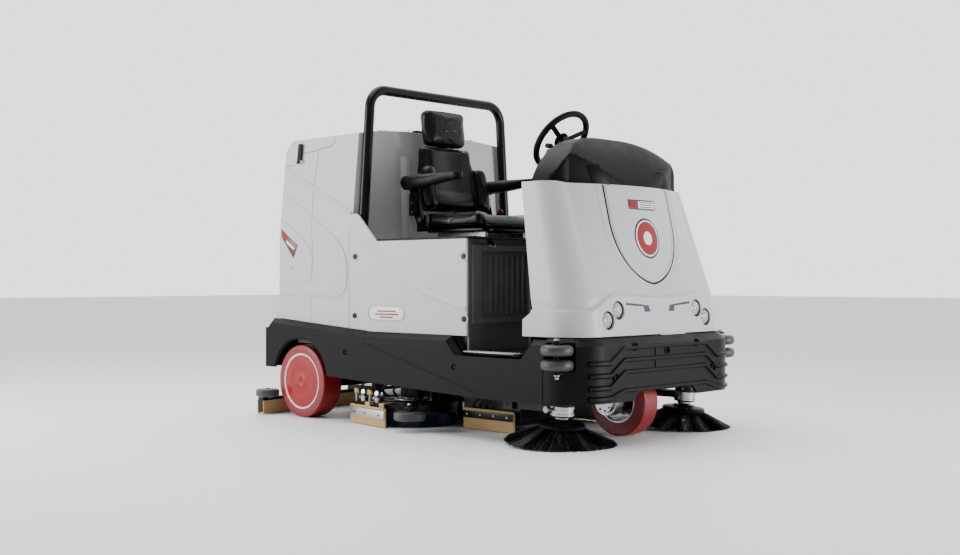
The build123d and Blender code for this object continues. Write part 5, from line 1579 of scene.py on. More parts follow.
@dataclass
class FrontEnd(Assembly):
    """Cowl with its groove drawn as painted shade, badges and lamps, the dash hood and console."""

    levels: tuple[NoseLevel, ...] = (
        NoseLevel(502, 1123, 600, 150, 5),
        NoseLevel(678, 1106, 598, 146, 10),
        NoseLevel(1205, 1011, 545, 105, 96),
    )

    def level(self, z: float) -> NoseLevel:
        """Find the outline at a height.

        Args:
            z: Height.

        Returns:
            The interpolated level.
        """
        low, high = self.levels[0], self.levels[1]
        if z > low.z and z > high.z:
            low, high = self.levels[1], self.levels[2]
        t = (z - low.z) / (high.z - low.z)
        values = [
            getattr(low, key) + (getattr(high, key) - getattr(low, key)) * t
            for key in ("front", "half", "corner", "bow")
        ]
        return NoseLevel(z, *values)

    def point(self, travel: float, z: float) -> tuple[Vector, Vector]:
        """Find a point on the cowl.

        Args:
            travel: -3..3: flank, corner and front of the right side, then of the left.
            z: Height.

        Returns:
            The point on the surface and its outward normal.
        """
        at = self.level(z)
        side = 1 if travel >= 0 else -1
        t = abs(travel)
        wide = at.half - at.corner
        radius = (wide**2 + at.bow**2) / (2 * at.bow)
        rear = self.rear_edge(z)
        if t <= 1:
            y = wide * t
            x = at.front - radius + math.sqrt(radius**2 - y**2)
            normal = Vector((math.sqrt(radius**2 - y**2) / radius, side * y / radius, 0.17))
            return Vector((x, side * y, z)), normal.normalized()
        if t <= 2:
            a = (t - 1) * math.pi / 2
            centre_x = at.front - at.bow - at.corner
            point = Vector(
                (centre_x + at.corner * math.cos(a), side * (wide + at.corner * math.sin(a)), z)
            )
            return point, Vector((math.cos(a), side * math.sin(a), 0.14)).normalized()
        start = at.front - at.bow - at.corner
        x = start + (rear - start) * (t - 2)
        return Vector((x, side * at.half, z)), Vector((0, side, 0.1)).normalized()

    @staticmethod
    def rear_edge(z: float) -> float:
        """X of the cowl's rear edge at a height.

        Args:
            z: Height.

        Returns:
            The X of the edge.
        """
        if z < 578:
            return 795.0
        if z < 612:
            return 795.0 + (z - 578) * 1.5
        return 846.0 + (z - 612) * (726 - 846) / (1215 - 612)

    @staticmethod
    def pod_edge(y: float) -> float:
        """Height of the lamp pod's upper edge.

        Args:
            y: Distance from the middle.

        Returns:
            The height of the ridge.
        """
        reach = abs(y)
        if reach > 520:
            return 620.0
        if reach > 313:
            return 620.0 + 75.0 * smoothstep(520, 313, reach)
        return 677.0 + 18.0 * (reach / 313) ** 2

    @staticmethod
    def groove_half(z: float) -> float:
        """Half width of the tongue at a height.

        Args:
            z: Height.

        Returns:
            Half the width between the groove's two sides, or 0 below its foot.
        """
        if z <= 745:
            return 0.0
        t = min((z - 745) / 330, 1.0)
        return 252.0 * (1 - (1 - t) ** 2.6) ** 0.62

    def relief(self, point: Vector) -> float:
        """Height of the moulding above the plain cowl.

        Args:
            point: Point on the plain surface.

        Returns:
            The height in millimetres.
        """
        edge = self.pod_edge(point.y)
        lift = 15.0 * (1 - smoothstep(edge - 3, edge + 11, point.z))
        return lift

    def build(self) -> None:
        """Build the cowl skin, then everything on it."""
        self.cowl()
        self.dash_shells()
        self.groove()
        self.badges()
        self.lamps()
        self.hood_wedges()
        self.console()

    def cowl(self) -> None:
        """Replace the CAD cowl by a moulded skin with the same walls."""
        travels = sorted(
            {round(-3 + k / 6, 4) for k in range(6)}
            | {round(-2 - k / 5, 4) for k in range(6)}
            | {round(-1 - k / 16, 4) for k in range(17)}
            | {round(-k / 60, 4) for k in range(61)}
        )
        travels = travels + [-v for v in reversed(travels) if v < -1e-9]
        top = 1216.0
        heights = [502 + (top - 502) * k / 150 for k in range(151)]
        outer: list[Vector] = []
        inner: list[Vector] = []
        for z in heights:
            for travel in travels:
                p, n = self.point(travel, z)
                rise = smoothstep(1196, 1216, z)
                crest = 8.0 * smoothstep(0.9, 1.5, abs(travel)) * rise
                q = p + n * self.relief(p)
                outer.append(Vector((q.x, q.y, q.z + crest)))
                inner.append(Vector((p.x, p.y, p.z + crest)) - n * 7.0)
        row, rows = len(travels), len(heights)
        count = len(outer)
        faces: list[list[int]] = []
        for j in range(rows - 1):
            for i in range(row - 1):
                a = j * row + i
                faces.append([a, a + 1, a + row + 1, a + row])
                faces.append([count + a + row, count + a + row + 1, count + a + 1, count + a])
        for i in range(row - 1):
            faces.append([count + i, count + i + 1, i + 1, i])
            a = (rows - 1) * row + i
            faces.append([a, a + 1, count + a + 1, count + a])
        for j in range(rows - 1):
            a = j * row
            faces.append([a, a + row, count + a + row, count + a])
            b = j * row + row - 1
            faces.append([count + b, count + b + row, b + row, b])
        skin = make_object("cowl_skin", outer + inner, faces, Look.BODY, "chassis", bevel_mm=0.0)
        cutter = self.lamp_cutter()
        cut = skin.modifiers.new("lamp holes", "BOOLEAN")
        cut.operation = "DIFFERENCE"
        cut.solver = "EXACT"
        cut.object = cutter
        bpy.context.view_layer.update()
        graph = bpy.context.evaluated_depsgraph_get()
        mesh = bpy.data.meshes.new_from_object(skin.evaluated_get(graph), depsgraph=graph)
        skin.modifiers.remove(cut)
        skin.data = mesh
        mesh.shade_smooth()
        mesh.set_sharp_from_angle(angle=math.radians(40))
        bpy.data.objects.remove(cutter)
        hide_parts("front_cowl")

    @staticmethod
    def refine(mesh: bpy.types.Mesh, longest: float) -> None:
        """Split long edges until none is longer than a limit.

        Args:
            mesh: The mesh to refine.
            longest: Longest edge in metres.
        """
        work = bmesh.new()
        work.from_mesh(mesh)
        bmesh.ops.remove_doubles(work, verts=work.verts, dist=1e-5)
        for _ in range(7):
            long = [e for e in work.edges if e.calc_length() > longest]
            if not long:
                break
            bmesh.ops.subdivide_edges(work, edges=long, cuts=1, use_grid_fill=False)
            bmesh.ops.triangulate(work, faces=[f for f in work.faces if len(f.verts) > 3])
        work.to_mesh(mesh)
        work.free()

    def dash_shells(self) -> None:
        """Replace hood and console by copies with softer, rounder shoulders."""
        for node, name, look in (
            ("dash_hood", "hood_shell", Look.HOOD),
            ("dash_console", "console_shell", Look.TRIM),
        ):
            mesh = self.frame["nodes"][node].data.copy()
            shell = bpy.data.objects.new(name, mesh)
            bpy.context.scene.collection.objects.link(shell)
            self.refine(shell.data, 0.022)
            for vertex in shell.data.vertices:
                x, y, z = vertex.co / SCALE
                high = smoothstep(1180, 1240, z)
                reach = min(abs(y) / 535.0, 1.0)
                y *= 1.0 - 0.065 * high
                z -= (z - 1205) * 0.34 * reach**5 * high
                vertex.co = mm(x, y, z)
            shell.data.materials.clear()
            shell.data.materials.append(look.material)
            shell.data.shade_smooth()
            shell.data.set_sharp_from_angle(angle=math.radians(32))
            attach(shell, "chassis")
            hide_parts(node)

    LAMPS = ((394.0, 577.0, 1114.0), (315.0, 622.0, 1111.0))

    def lamp_cutter(self) -> bpy.types.Object:
        """Make the cutter of the lamp holes.

        Returns:
            A mesh of four cylinders.
        """
        work = bmesh.new()
        for y, z, x in self.LAMPS:
            for side in (-1, 1):
                turn = Matrix.Rotation(math.pi / 2, 4, "Y")
                place = Matrix.Translation(mm(x, side * y, z)) @ turn
                bmesh.ops.create_cone(
                    work,
                    cap_ends=True,
                    segments=48,
                    radius1=0.044,
                    radius2=0.044,
                    depth=0.12,
                    matrix=place,
                )
        mesh = bpy.data.meshes.new("lamp cutter")
        work.to_mesh(mesh)
        work.free()
        cutter = bpy.data.objects.new("lamp cutter", mesh)
        bpy.context.scene.collection.objects.link(cutter)
        return cutter

    def front_at(self, y: float, z: float) -> tuple[Vector, Vector]:
        """Find the moulded front surface at a Y and height.

        Args:
            y: Position across the machine.
            z: Height.

        Returns:
            The point and its normal.
        """
        at = self.level(z)
        wide = at.half - at.corner
        side = 1 if y >= 0 else -1
        if abs(y) <= wide:
            point, normal = self.point(side * max(abs(y) / wide, 1e-6), z)
        else:
            a = math.asin(min((abs(y) - wide) / at.corner, 1.0))
            point, normal = self.point(side * (1 + a / (math.pi / 2)), z)
        return point + normal * self.relief(point), normal

    def groove(self) -> None:
        """Lay a black strip round the tongue as painted shade of its groove, then the groove's
        raised lip and outer line.
        """
        for offset, width, lift, look, name in (
            # The groove is a black strip laid on the white skin, not a cut: painted shade of the
            # groove.
            (0.0, 17.0, 1.6, Look.FRAME, "tongue_groove_shade"),
            (-18.0, 24.0, 5.0, Look.BODY, "tongue_lip"),
            (38.0, 12.0, 2.4, Look.BODY, "tongue_outer_line"),
        ):
            line, normals = [], []
            for k in range(121):
                t = k / 60 - 1
                s = abs(t)
                z = 745 + (1 - math.cos(min(s * 1.15, 1.0) * math.pi / 2)) * 330 if s < 0.87 else 0
                if s >= 0.87:
                    z = 1075 + (s - 0.87) / 0.13 * 138
                half = self.groove_half(z)
                y = (half + offset * smoothstep(745, 860, z)) * (1 if t >= 0 else -1)
                z -= offset * (1 - smoothstep(745, 860, z))
                point, normal = self.front_at(y, min(z, 1213))
                line.append(point)
                normals.append(normal)
            ridge(name, line, normals, width, lift, look, "chassis", 0.8)

    def disc(self, name: str, y: float, z: float, radius: float, lift: float, look: Look) -> None:
        """Lay a thin disc on the cowl.

        Args:
            name: Name of the piece.
            y: Its middle across the machine.
            z: Its height.
            radius: Its radius.
            lift: Height above the cowl.
            look: Its finish.
        """
        verts: list[Vector] = []
        faces: list[list[int]] = []
        rings, steps = 12, 96
        for r in range(rings + 1):
            for k in range(steps):
                a = 2 * math.pi * k / steps
                q = radius * r / rings
                p, n = self.front_at(y + q * math.cos(a), z + q * math.sin(a))
                edge = -1.6 if r == rings else 0.0
                verts.append(p + n * (lift + edge))
        for r in range(rings):
            for k in range(steps):
                m = (k + 1) % steps
                faces.append(
                    [r * steps + k, r * steps + m, (r + 1) * steps + m, (r + 1) * steps + k]
                )
        make_object(name, verts, faces, look, "chassis")

    def patch(
        self, name: str, corners: Sequence[tuple[float, float]], lift: float, look: Look
    ) -> None:
        """Lay a thin four-cornered patch on the cowl.

        Args:
            name: Name of the piece.
            corners: Y and Z of its corners, in order.
            lift: Height above the cowl.
            look: Its finish.
        """
        verts: list[Vector] = []
        faces: list[list[int]] = []
        steps = 12
        c = [Vector((y, z, 0)) for y, z in corners]
        for j in range(steps + 1):
            for i in range(steps + 1):
                q = c[0].lerp(c[1], i / steps).lerp(c[3].lerp(c[2], i / steps), j / steps)
                p, n = self.front_at(q.x, q.y)
                edge = -1.2 if i in (0, steps) or j in (0, steps) else 0.0
                verts.append(p + n * (lift + edge))
        row = steps + 1
        for j in range(steps):
            for i in range(steps):
                a = j * row + i
                faces.append([a, a + 1, a + row + 1, a + row])
        make_object(name, verts, faces, look, "chassis")

    def badges(self) -> None:
        """Add a blank roundel and a blank plate."""
        self.disc("roundel_rim", 0, 963, 98, 2.0, Look.INK)
        self.disc("roundel_ring", 0, 963, 91, 2.9, Look.WHITE)
        self.disc("roundel_face", 0, 963, 85, 3.6, Look.RED)
        self.disc("roundel_dot", 0, 963, 34, 4.6, Look.WHITE)
        self.patch(
            "plate_base", [(-110, 1101), (100, 1101), (100, 1150), (-110, 1150)], 1.6, Look.INK
        )
        self.patch(
            "plate_red", [(-103, 1107), (-48, 1107), (-48, 1144), (-103, 1144)], 2.4, Look.RED
        )
        self.patch(
            "plate_white", [(-40, 1107), (93, 1107), (93, 1144), (-40, 1144)], 2.4, Look.WHITE
        )
        for k in range(3):
            low = 1112 + k * 11
            self.patch(
                f"plate_line_{k}", [
                    (-30, low), (84, low), (84, low + 5), (-30, low + 5)
                ], 3.0, Look.INK
            )

    def lamps(self) -> None:
        """Replace the plain lamps by lens, reflector and a dark bezel that also carries painted
        shade, and lay the brows as painted shade.
        """
        for k, (y, z, x) in enumerate(self.LAMPS):
            for name, side in SIDES:
                place = (x, side * y, z)
                lens = lathe(
                    f"lamp_lens_{name}_{k}",
                    [(0, 13), (14, 12), (28, 8.5), (36, 3), (39.5, -3), (39.5, -8), (0, -8)],
                    place,
                    (1, 0, 0),
                    lens_material(),
                    "chassis",
                    48,
                )
                lathe(
                    f"lamp_reflector_{name}_{k}",
                    [(0, -40), (18, -36), (30, -24), (38, -9), (40, -9), (40, -44), (0, -46)],
                    place,
                    (1, 0, 0),
                    Look.REFLECTOR,
                    "chassis",
                    48,
                )
                # Dark bezel lining the lamp hole: a real surround, and its dark finish also stands
                # for the shade inside the hole, painted shade.
                lathe(
                    f"lamp_bezel_shade_{name}_{k}",
                    [(39.6, -30), (39.6, 1), (41, 5), (43.6, 4), (43.8, -30)],
                    place,
                    (1, 0, 0),
                    Look.SCREW,
                    "chassis",
                    48,
                )
        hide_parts("headlights")
        for name, side in SIDES:
            # Dark patches in the plates' ink stand for the brow slots: painted shade, no slot is
            # cut.
            self.patch(
                f"brow_{name}",
                [(side * 262, 655), (side * 130, 645), (side * 118, 634), (side * 262, 643)],
                0.9,
                Look.INK,
            )
            self.patch(
                f"brow_hook_{name}",
                [(side * 130, 645), (side * 84, 640), (side * 70, 608), (side * 122, 608)],
                0.9,
                Look.INK,
            )

    def hood_wedges(self) -> None:
        """Add the two wedge-shaped notches at the hood's foot."""
        for y0, y1, z1 in ((-330.0, -262.0, 1306.0), (196.0, 262.0, 1304.0)):
            hood = bpy.data.objects["hood_shell"]
            corners = []
            for y, z in ((y0, z1 - 4), (y1, z1 + 6), (y1 + 52, 1214), (y0 + 36, 1214)):
                hit, where, _, _ = hood.ray_cast(mm(1400, y, z), Vector((-1, 0, 0)))
                corners.append(where / SCALE if hit else Vector((960, y, z)))
            lifted = [
                corners[0] + Vector((2, 0, 0)),
                corners[1] + Vector((12, 0, 0)),
                corners[2] + Vector((14, 0, 0)),
                corners[3] + Vector((3, 0, 0)),
            ]
            sunk = [c + Vector((-8, 0, 0)) for c in corners]
            faces = [
                [0, 1, 2, 3], [7, 6, 5, 4], [0, 4, 5, 1], [1, 5, 6, 2], [2, 6, 7, 3], [3, 7, 4, 0]
            ]
            make_object(
                f"hood_wedge_{'right' if y0 < 0 else 'left'}",
                lifted + sunk,
                faces,
                Look.TRIM,
                "chassis",
                bevel_mm=1.5,
            )

    def console(self) -> None:
        """Add the dash panel's gauges and switches."""
        slope = math.atan2(115, 77)
        normal = Vector((-math.sin(slope), 0, math.cos(slope)))
        along = Vector((math.cos(slope), 0, math.sin(slope)))
        middle = Vector((655, 0, 1290)) + along * 70
        turn = Matrix((Vector((0, 1, 0)), along, Vector((0, 1, 0)).cross(along))).transposed()
        block(
            "display_frame", (150, 80, 10), tuple(
                middle + Vector((0, 190, 0)) + normal * 4
            ), Look.HOOD, "chassis", turn
        )
        block(
            "display_glass", (126, 58, 3), tuple(
                middle + Vector((0, 190, 0)) + normal * 9.5
            ), Look.INK, "chassis", turn
        )
        for k in range(6):
            place = middle + Vector((0, 300 + (k % 2) * 34, 0)) + along * (-26 + (k // 2) * 26)
            lathe(
                f"dash_key_{k}",
                [(0, 5), (8, 5), (9.5, 3), (9.5, 0), (0, 0)],
                tuple(place + normal * 0.5),
                tuple(normal),
                Look.ARM,
                "chassis",
                24,
            )
        lathe(
            "stop_ring",
            [(22, 0), (30, 0), (30, 2.5), (22, 2.5)],
            tuple(Vector((655 * 0.6 + 732 * 0.4, -230, 1290 * 0.6 + 1405 * 0.4))),
            tuple(normal),
            Look.YELLOW,
            "chassis",
            40,
        )


@dataclass
class Controls(Assembly):
    """Steering wheel, stalk, column, pedals and stop button."""

    def __post_init__(self) -> None:
        """List the CAD nodes' finishes."""
        self.paints = {
            "steering_column": Look.TRIM,
            "direction_stalk": Look.HOOD,
            "steering_wheel": Look.HOOD,
            "accelerator_pedal": Look.FRAME,
            "brake_pedal": Look.FRAME,
            "stop_button": Look.RED,
        }

    def build(self) -> None:
        """Add the hub cap, grip ridges and pedal pads."""
        tilt = math.radians(52)
        normal = Vector((-math.sin(tilt), 0, math.cos(tilt)))
        hub = Vector((511, 0, 1480))
        lathe(
            "wheel_hub_cap",
            [(0, 16), (20, 15), (34, 10), (42, 2), (42, -6), (0, -6)],
            tuple(hub + normal * 4),
            tuple(normal),
            Look.HOOD,
            "steering",
        )
        lathe(
            "column_gaiter",
            [(34, 0), (40, -14), (37, -28), (43, -42), (40, -56), (46, -70), (46, -78), (34, -78)],
            tuple(hub - normal * 120),
            tuple(normal),
            Look.TRIM,
            "chassis",
        )
        down = Vector((-math.cos(tilt), 0, -math.sin(tilt)))
        rim = []
        for k in range(24):
            a = 2 * math.pi * k / 24
            rim.append(tuple(hub + (Vector((0, 1, 0)) * math.cos(a) + down * math.sin(a)) * 160.0))
        tube("wheel_grip", rim, 16.5, Look.HOOD, "steering", 14, 5, True)
        points, ways = [], []
        for k in range(72):
            a = 2 * math.pi * k / 72
            way = Vector((0, 1, 0)) * math.cos(a) + down * math.sin(a)
            points.append(tuple(hub + way * 144.6))
            ways.append(tuple(-way))
        Scatter("wheel_finger_bumps", points, ways, Look.HOOD, "steering", 2.2, 4.0, 2.4, 8).build()
        pedal = math.radians(42)
        along = Vector((math.cos(pedal), 0, math.sin(pedal)))
        up = Vector((-math.sin(pedal), 0, math.cos(pedal)))
        for body, y in (("accelerator", -120), ("brake", 120)):
            base = Vector((600, y, 428)) + up * 7.8
            turn = Matrix((along, Vector((0, 1, 0)), along.cross(Vector((0, 1, 0))))).transposed()
            block(
                f"{body}_pad",
                (108, 66, 5),
                tuple(base + along * 84 + up * 2),
                Look.HOSE,
                body,
                turn,
            )
            points = [
                tuple(base + along * (40 + i * 11) + Vector((0, (j - 2) * 12, 0)) + up * 4.4)
                for i in range(9)
                for j in range(5)
            ]
            Scatter(
                f"{body}_studs",
                points,
                [tuple(up)] * len(points),
                Look.HOSE,
                body,
                2.0,
                4.0,
                3.0,
                8,
            ).build()


@dataclass
class Seat(Assembly):
    """The driver's seat: foam pieces under vinyl, armrests, rails and belt buckle."""

    voxel: float = 0.006

    def __post_init__(self) -> None:
        """List the CAD nodes' finishes."""
        self.paints = {"seat_rails": Look.ZINC}

    def blob(
        self, name: str, parts: Sequence[tuple[Sequence[float], Point, Matrix, float]]
    ) -> bpy.types.Object:
        """Join rounded boxes and melt them into one form.

        Args:
            name: Name of the piece.
            parts: Size, middle, rotation and edge rounding of each box.

        Returns:
            The remeshed object, not yet riding on anything.
        """
        work = bmesh.new()
        for size, centre, turn, edge in parts:
            made = bmesh.ops.create_cube(work, size=1.0)["verts"]
            for v in made:
                v.co = Vector((v.co.x * size[0], v.co.y * size[1], v.co.z * size[2])) * SCALE
            edges = list({e for v in made for e in v.link_edges})
            grown = bmesh.ops.bevel(
                work,
                geom=edges,
                offset=edge * SCALE,
                segments=5,
                profile=0.5,
                affect="EDGES",
                clamp_overlap=True,
            )["verts"]
            whole = set(grown) | {v for v in made if v.is_valid}
            for v in whole:
                v.co = turn @ v.co + mm(*centre)
        mesh = bpy.data.meshes.new(name)
        work.to_mesh(mesh)
        work.free()
        obj = bpy.data.objects.new(name, mesh)
        bpy.context.scene.collection.objects.link(obj)
        melt = obj.modifiers.new("melt", "REMESH")
        melt.mode = "VOXEL"
        melt.voxel_size = self.voxel
        soften = obj.modifiers.new("soften", "SMOOTH")
        soften.factor = 0.5
        soften.iterations = 8
        self.bake(obj)
        return obj

    @staticmethod
    def bake(obj: bpy.types.Object) -> None:
        """Apply every modifier of an object.

        Args:
            obj: The object.
        """
        bpy.context.view_layer.update()
        graph = bpy.context.evaluated_depsgraph_get()
        mesh = bpy.data.meshes.new_from_object(obj.evaluated_get(graph), depsgraph=graph)
        obj.modifiers.clear()
        obj.data = mesh

    def inflate(
        self, obj: bpy.types.Object, cap_mm: float, pinned: Callable[[Vector], bool]
    ) -> None:
        """Let the cover swell and settle under a little pressure.

        Args:
            obj: The remeshed object.
            cap_mm: Furthest any point may move.
            pinned: Tells which points are held.
        """
        rest = [v.co.copy() for v in obj.data.vertices]
        held = obj.vertex_groups.new(name="held")
        held.add([i for i, co in enumerate(rest) if pinned(co / SCALE)], 1.0, "REPLACE")
        cloth = obj.modifiers.new("cloth", "CLOTH")
        cloth.settings.use_pressure = True
        cloth.settings.uniform_pressure_force = 4.0
        cloth.settings.tension_stiffness = 30
        cloth.settings.compression_stiffness = 30
        cloth.settings.bending_stiffness = 2
        cloth.settings.effector_weights.gravity = 0.0
        cloth.settings.vertex_group_mass = "held"
        scene = bpy.context.scene
        for step in range(1, 21):
            scene.frame_set(step)
        self.bake(obj)
        scene.frame_set(1)
        for vertex, before in zip(obj.data.vertices, rest):
            move = vertex.co - before
            if move.length > cap_mm * SCALE:
                vertex.co = before + move.normalized() * cap_mm * SCALE
        fine = obj.modifiers.new("fine", "SUBSURF")
        fine.levels = 1
        fine.render_levels = 1
        self.bake(obj)

    def upholster(
        self,
        name: str,
        parts: Sequence[tuple[Sequence[float], Point, Matrix, float]],
        body: str,
        node: str,
        look: Look,
        cap_mm: float,
        pinned: Callable[[Vector], bool],
        sculpt: Callable[[Vector], Vector] | None = None,
    ) -> bpy.types.Object:
        """Make one soft piece that stands for a CAD node.

        Args:
            name: Name of the piece.
            parts: Boxes that the form is melted from.
            body: CAD body it rides on.
            node: CAD node it replaces.
            look: Its cover.
            cap_mm: Furthest the cover may swell.
            pinned: Tells which points are held.
            sculpt: Moves a point of the form, in millimetres.

        Returns:
            The finished piece.
        """
        obj = self.blob(name, parts)
        if sculpt:
            for vertex in obj.data.vertices:
                vertex.co = sculpt(vertex.co / SCALE) * SCALE
        self.inflate(obj, cap_mm, pinned)
        obj.data.materials.clear()
        obj.data.materials.append(look.material)
        obj.data.shade_smooth()
        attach(obj, body)
        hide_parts(node)
        return obj

    def build(self) -> None:
        """Build cushion, backrest, headrest and armrests."""
        self.cushion()
        self.backrest()
        self.headrest()
        self.armrests()
        self.hardware()

    def cushion(self) -> None:
        """Build the seat cushion with its raised front and sides."""
        flat = Matrix.Identity(3)

        def sculpt(p: Vector) -> Vector:
            """Raise the sides, dish the middle and round the front."""
            side = smoothstep(120, 235, abs(p.y))
            front = smoothstep(60, 175, p.x)
            if p.z > 1066:
                p.z += 9 * side - 8 * (1 - side) * (1 - front) + 3 * front
                p.z -= 20 * smoothstep(120, 190, p.x) ** 2
            return p

        self.upholster(
            "cushion_pad",
            [
                ((468, 480, 68), (-50, 0, 1068), flat, 30),
                ((420, 110, 58), (-50, -200, 1078), flat, 26),
                ((420, 110, 58), (-50, 200, 1078), flat, 26),
            ],
            "seat",
            "seat_cushion",
            Look.VINYL,
            6,
            lambda p: p.z < 1050,
            sculpt,
        )
        loop = []
        for x, y in (
            (180, 0), (178, 120), (165, 205), (110, 238),
            (-40, 243), (-220, 240), (-278, 200), (-284, 0),
            (-278, -200), (-220, -240), (-40, -243), (110, -238), (165, -205), (178, -120),
        ):
            loop.append((x, y, 1052))
        tube("cushion_piping", loop, 3.2, Look.HOOD, "seat", 8, 6, True)
        block("cushion_pan", (420, 440, 16), (-50, 0, 1026), Look.FRAME, "seat", bevel_mm=4)
        for name, side in SIDES:
            block(
                f"recliner_plate_{name}", (96, 8, 90), (-246, side * 262, 1068), Look.FRAME, "seat"
            )
            lathe(
                f"recliner_bolt_{name}",
                [(0, 6), (12, 6), (14, 2), (14, 0), (0, 0)],
                (-255, side * 280, 1085),
                (0, side, 0),
                Look.ZINC,
                "seat",
                24,
            )
        block("slide_lever", (60, 10, 8), (150, -170, 1024), Look.ZINC, "seat")

    def backrest(self) -> None:
        """Build the backrest with its side bolsters."""
        lean = Matrix.Rotation(math.radians(-9), 3, "Y")
        in_right = Matrix.Rotation(math.radians(24), 3, "Z") @ lean
        in_left = Matrix.Rotation(math.radians(-24), 3, "Z") @ lean

        def sculpt(p: Vector) -> Vector:
            """Narrow the top and dish the middle of the backrest."""
            t = smoothstep(1230, 1490, p.z)
            p.y *= 1.0 - 0.17 * t
            front = -300 - (p.z - 1140) * 0.158
            if p.x > front + 30:
                p.x -= 12 * math.exp(-((p.y / 90) ** 2)) * smoothstep(1180, 1260, p.z)
                p.x += 8 * math.exp(-(((p.z - 1190) / 45) ** 2)) * math.exp(-((p.y / 150) ** 2))
            return p

        self.upholster(
            "backrest_pad",
            [
                ((84, 440, 380), (-327, 0, 1318), lean, 36),
                ((74, 92, 250), (-262, -212, 1262), in_right, 34),
                ((74, 92, 250), (-262, 212, 1262), in_left, 34),
                ((64, 330, 110), (-292, 0, 1200), lean, 28),
            ],
            "backrest",
            "seat_backrest",
            Look.VINYL,
            7,
            lambda p: p.x < -370,
            sculpt,
        )
        seam = []
        for y, z in (
            (-60, 1488), (-120, 1470), (-150, 1400),
            (-175, 1330), (-190, 1260), (-185, 1190), (-120, 1160),
            (0, 1154), (120, 1160), (185, 1190), (190, 1260),
            (175, 1330), (150, 1400), (120, 1470), (60, 1488),
        ):
            seam.append((y, z))
        pad = bpy.data.objects["backrest_pad"]
        line = []
        for y, z in seam:
            hit, where, _, _ = pad.ray_cast(mm(200, y, z), Vector((-1, 0, 0)))
            if hit:
                line.append(tuple(where / SCALE))
        if len(line) > 6:
            tube("backrest_piping", line, 2.6, Look.HOOD, "backrest", 8, 6)
        for name, side in SIDES:
            outline = [
                (-281, 1061), (-229, 1061), (-229, 1105), (-293, 1312), (-357, 1312), (-305, 1115)
            ]
            across = (1, 0, 0) if side < 0 else (-1, 0, 0)
            shape = [(x * (1 if side < 0 else -1), z) for x, z in outline]
            prism(
                f"arm_bracket_{name}",
                shape,
                (0, side * 270, 0),
                across,
                (0, 0, 1),
                8,
                Look.FRAME,
                "backrest",
                1.2,
            )
            block(
                f"arm_plate_{name}", (58, 14, 120), (-300, side * 285, 1170), Look.SCREW, "backrest"
            )
            lathe(
                f"arm_pin_{name}",
                [(0, 0), (9, 0), (9, 40), (0, 40)],
                (-325, side * 274, 1286),
                (0, side, 0),
                Look.ZINC,
                "backrest",
                24,
            )
            for k, z in enumerate((1130, 1180)):
                lathe(
                    f"arm_bolt_{name}_{k}",
                    [(0, 6), (8, 6), (9, 0), (0, 0)],
                    (-300, side * 292, z),
                    (0, side, 0),
                    Look.ZINC,
                    "backrest",
                    6,
                )

    def headrest(self) -> None:
        """Build the headrest with a plain raised patch."""
        lean = Matrix.Rotation(math.radians(-6), 3, "Y")

        def sculpt(p: Vector) -> Vector:
            """Narrow the headrest's foot a little and round its face."""
            p.y *= 1.0 - 0.05 * smoothstep(1600, 1520, p.z)
            if p.x > -350:
                p.x -= 8 * (p.y / 150) ** 2
            return p

        self.upholster(
            "headrest_pad",
            [((84, 304, 200), (-357, 0, 1608), lean, 30)],
            "headrest_body",
            "headrest",
            Look.VINYL,
            5,
            lambda p: p.x < -385,
            sculpt,
        )
        pad = bpy.data.objects["headrest_pad"]
        for name, y0, y1, z in (("upper", -20, 22, 1640), ("lower", -42, 52, 1596)):
            hit, where, _, _ = pad.ray_cast(mm(0, (y0 + y1) / 2, z), Vector((-1, 0, 0)))
            x = where.x / SCALE if hit else -316
            block(
                f"headrest_patch_{name}",
                (6, y1 - y0, 18),
                (x, (y0 + y1) / 2, z),
                Look.VINYL,
                "headrest_body",
                bevel_mm=2.5,
            )
        for name, side in SIDES:
            lathe(
                f"headrest_post_{name}",
                [(0, 0), (7, 0), (7, 96), (0, 96)],
                (-359, side * 70, 1430),
                (0, 0, 1),
                Look.ZINC,
                "headrest_body",
                24,
            )

    def armrests(self) -> None:
        """Build the two armrests."""
        flat = Matrix.Identity(3)
        for name, side in SIDES:

            def sculpt(p: Vector) -> Vector:
                """Taper the armrest to the front and round its underside."""
                t = smoothstep(-340, 80, p.x)
                if p.z < 1300:
                    p.z += 30 * t - 5 * math.sin(math.pi * t)
                return p

            self.upholster(
                f"armrest_pad_{name}",
                [
                    ((436, 70, 70), (-138, side * 306, 1292), flat, 22),
                    ((96, 50, 74), (-314, side * 306, 1286), flat, 22),
                ],
                f"armrest_{name}_body",
                f"armrest_{name}",
                Look.ARM,
                3,
                lambda p: p.z < 1275,
                sculpt,
            )
            lathe(
                f"armrest_cap_{name}",
                [(0, 5), (14, 5), (19, 3), (20, 0), (0, 0)],
                (-325, side * 339, 1288),
                (0, side, 0),
                Look.HOOD,
                f"armrest_{name}_body",
                32,
            )

    def hardware(self) -> None:
        """Add the belt buckle and its stalk."""
        tube(
            "buckle_stalk",
            [(-240, 262, 1040), (-225, 276, 1075), (-205, 280, 1105)],
            6,
            Look.HOSE,
            "seat",
        )
        turn = Matrix.Rotation(math.radians(28), 3, "Y")
        block("buckle", (30, 22, 66), (-190, 281, 1130), Look.HOOD, "seat", turn, 4)
        block("buckle_button", (22, 4, 16), (-180, 268, 1148), Look.RED, "seat", turn, 1.5)


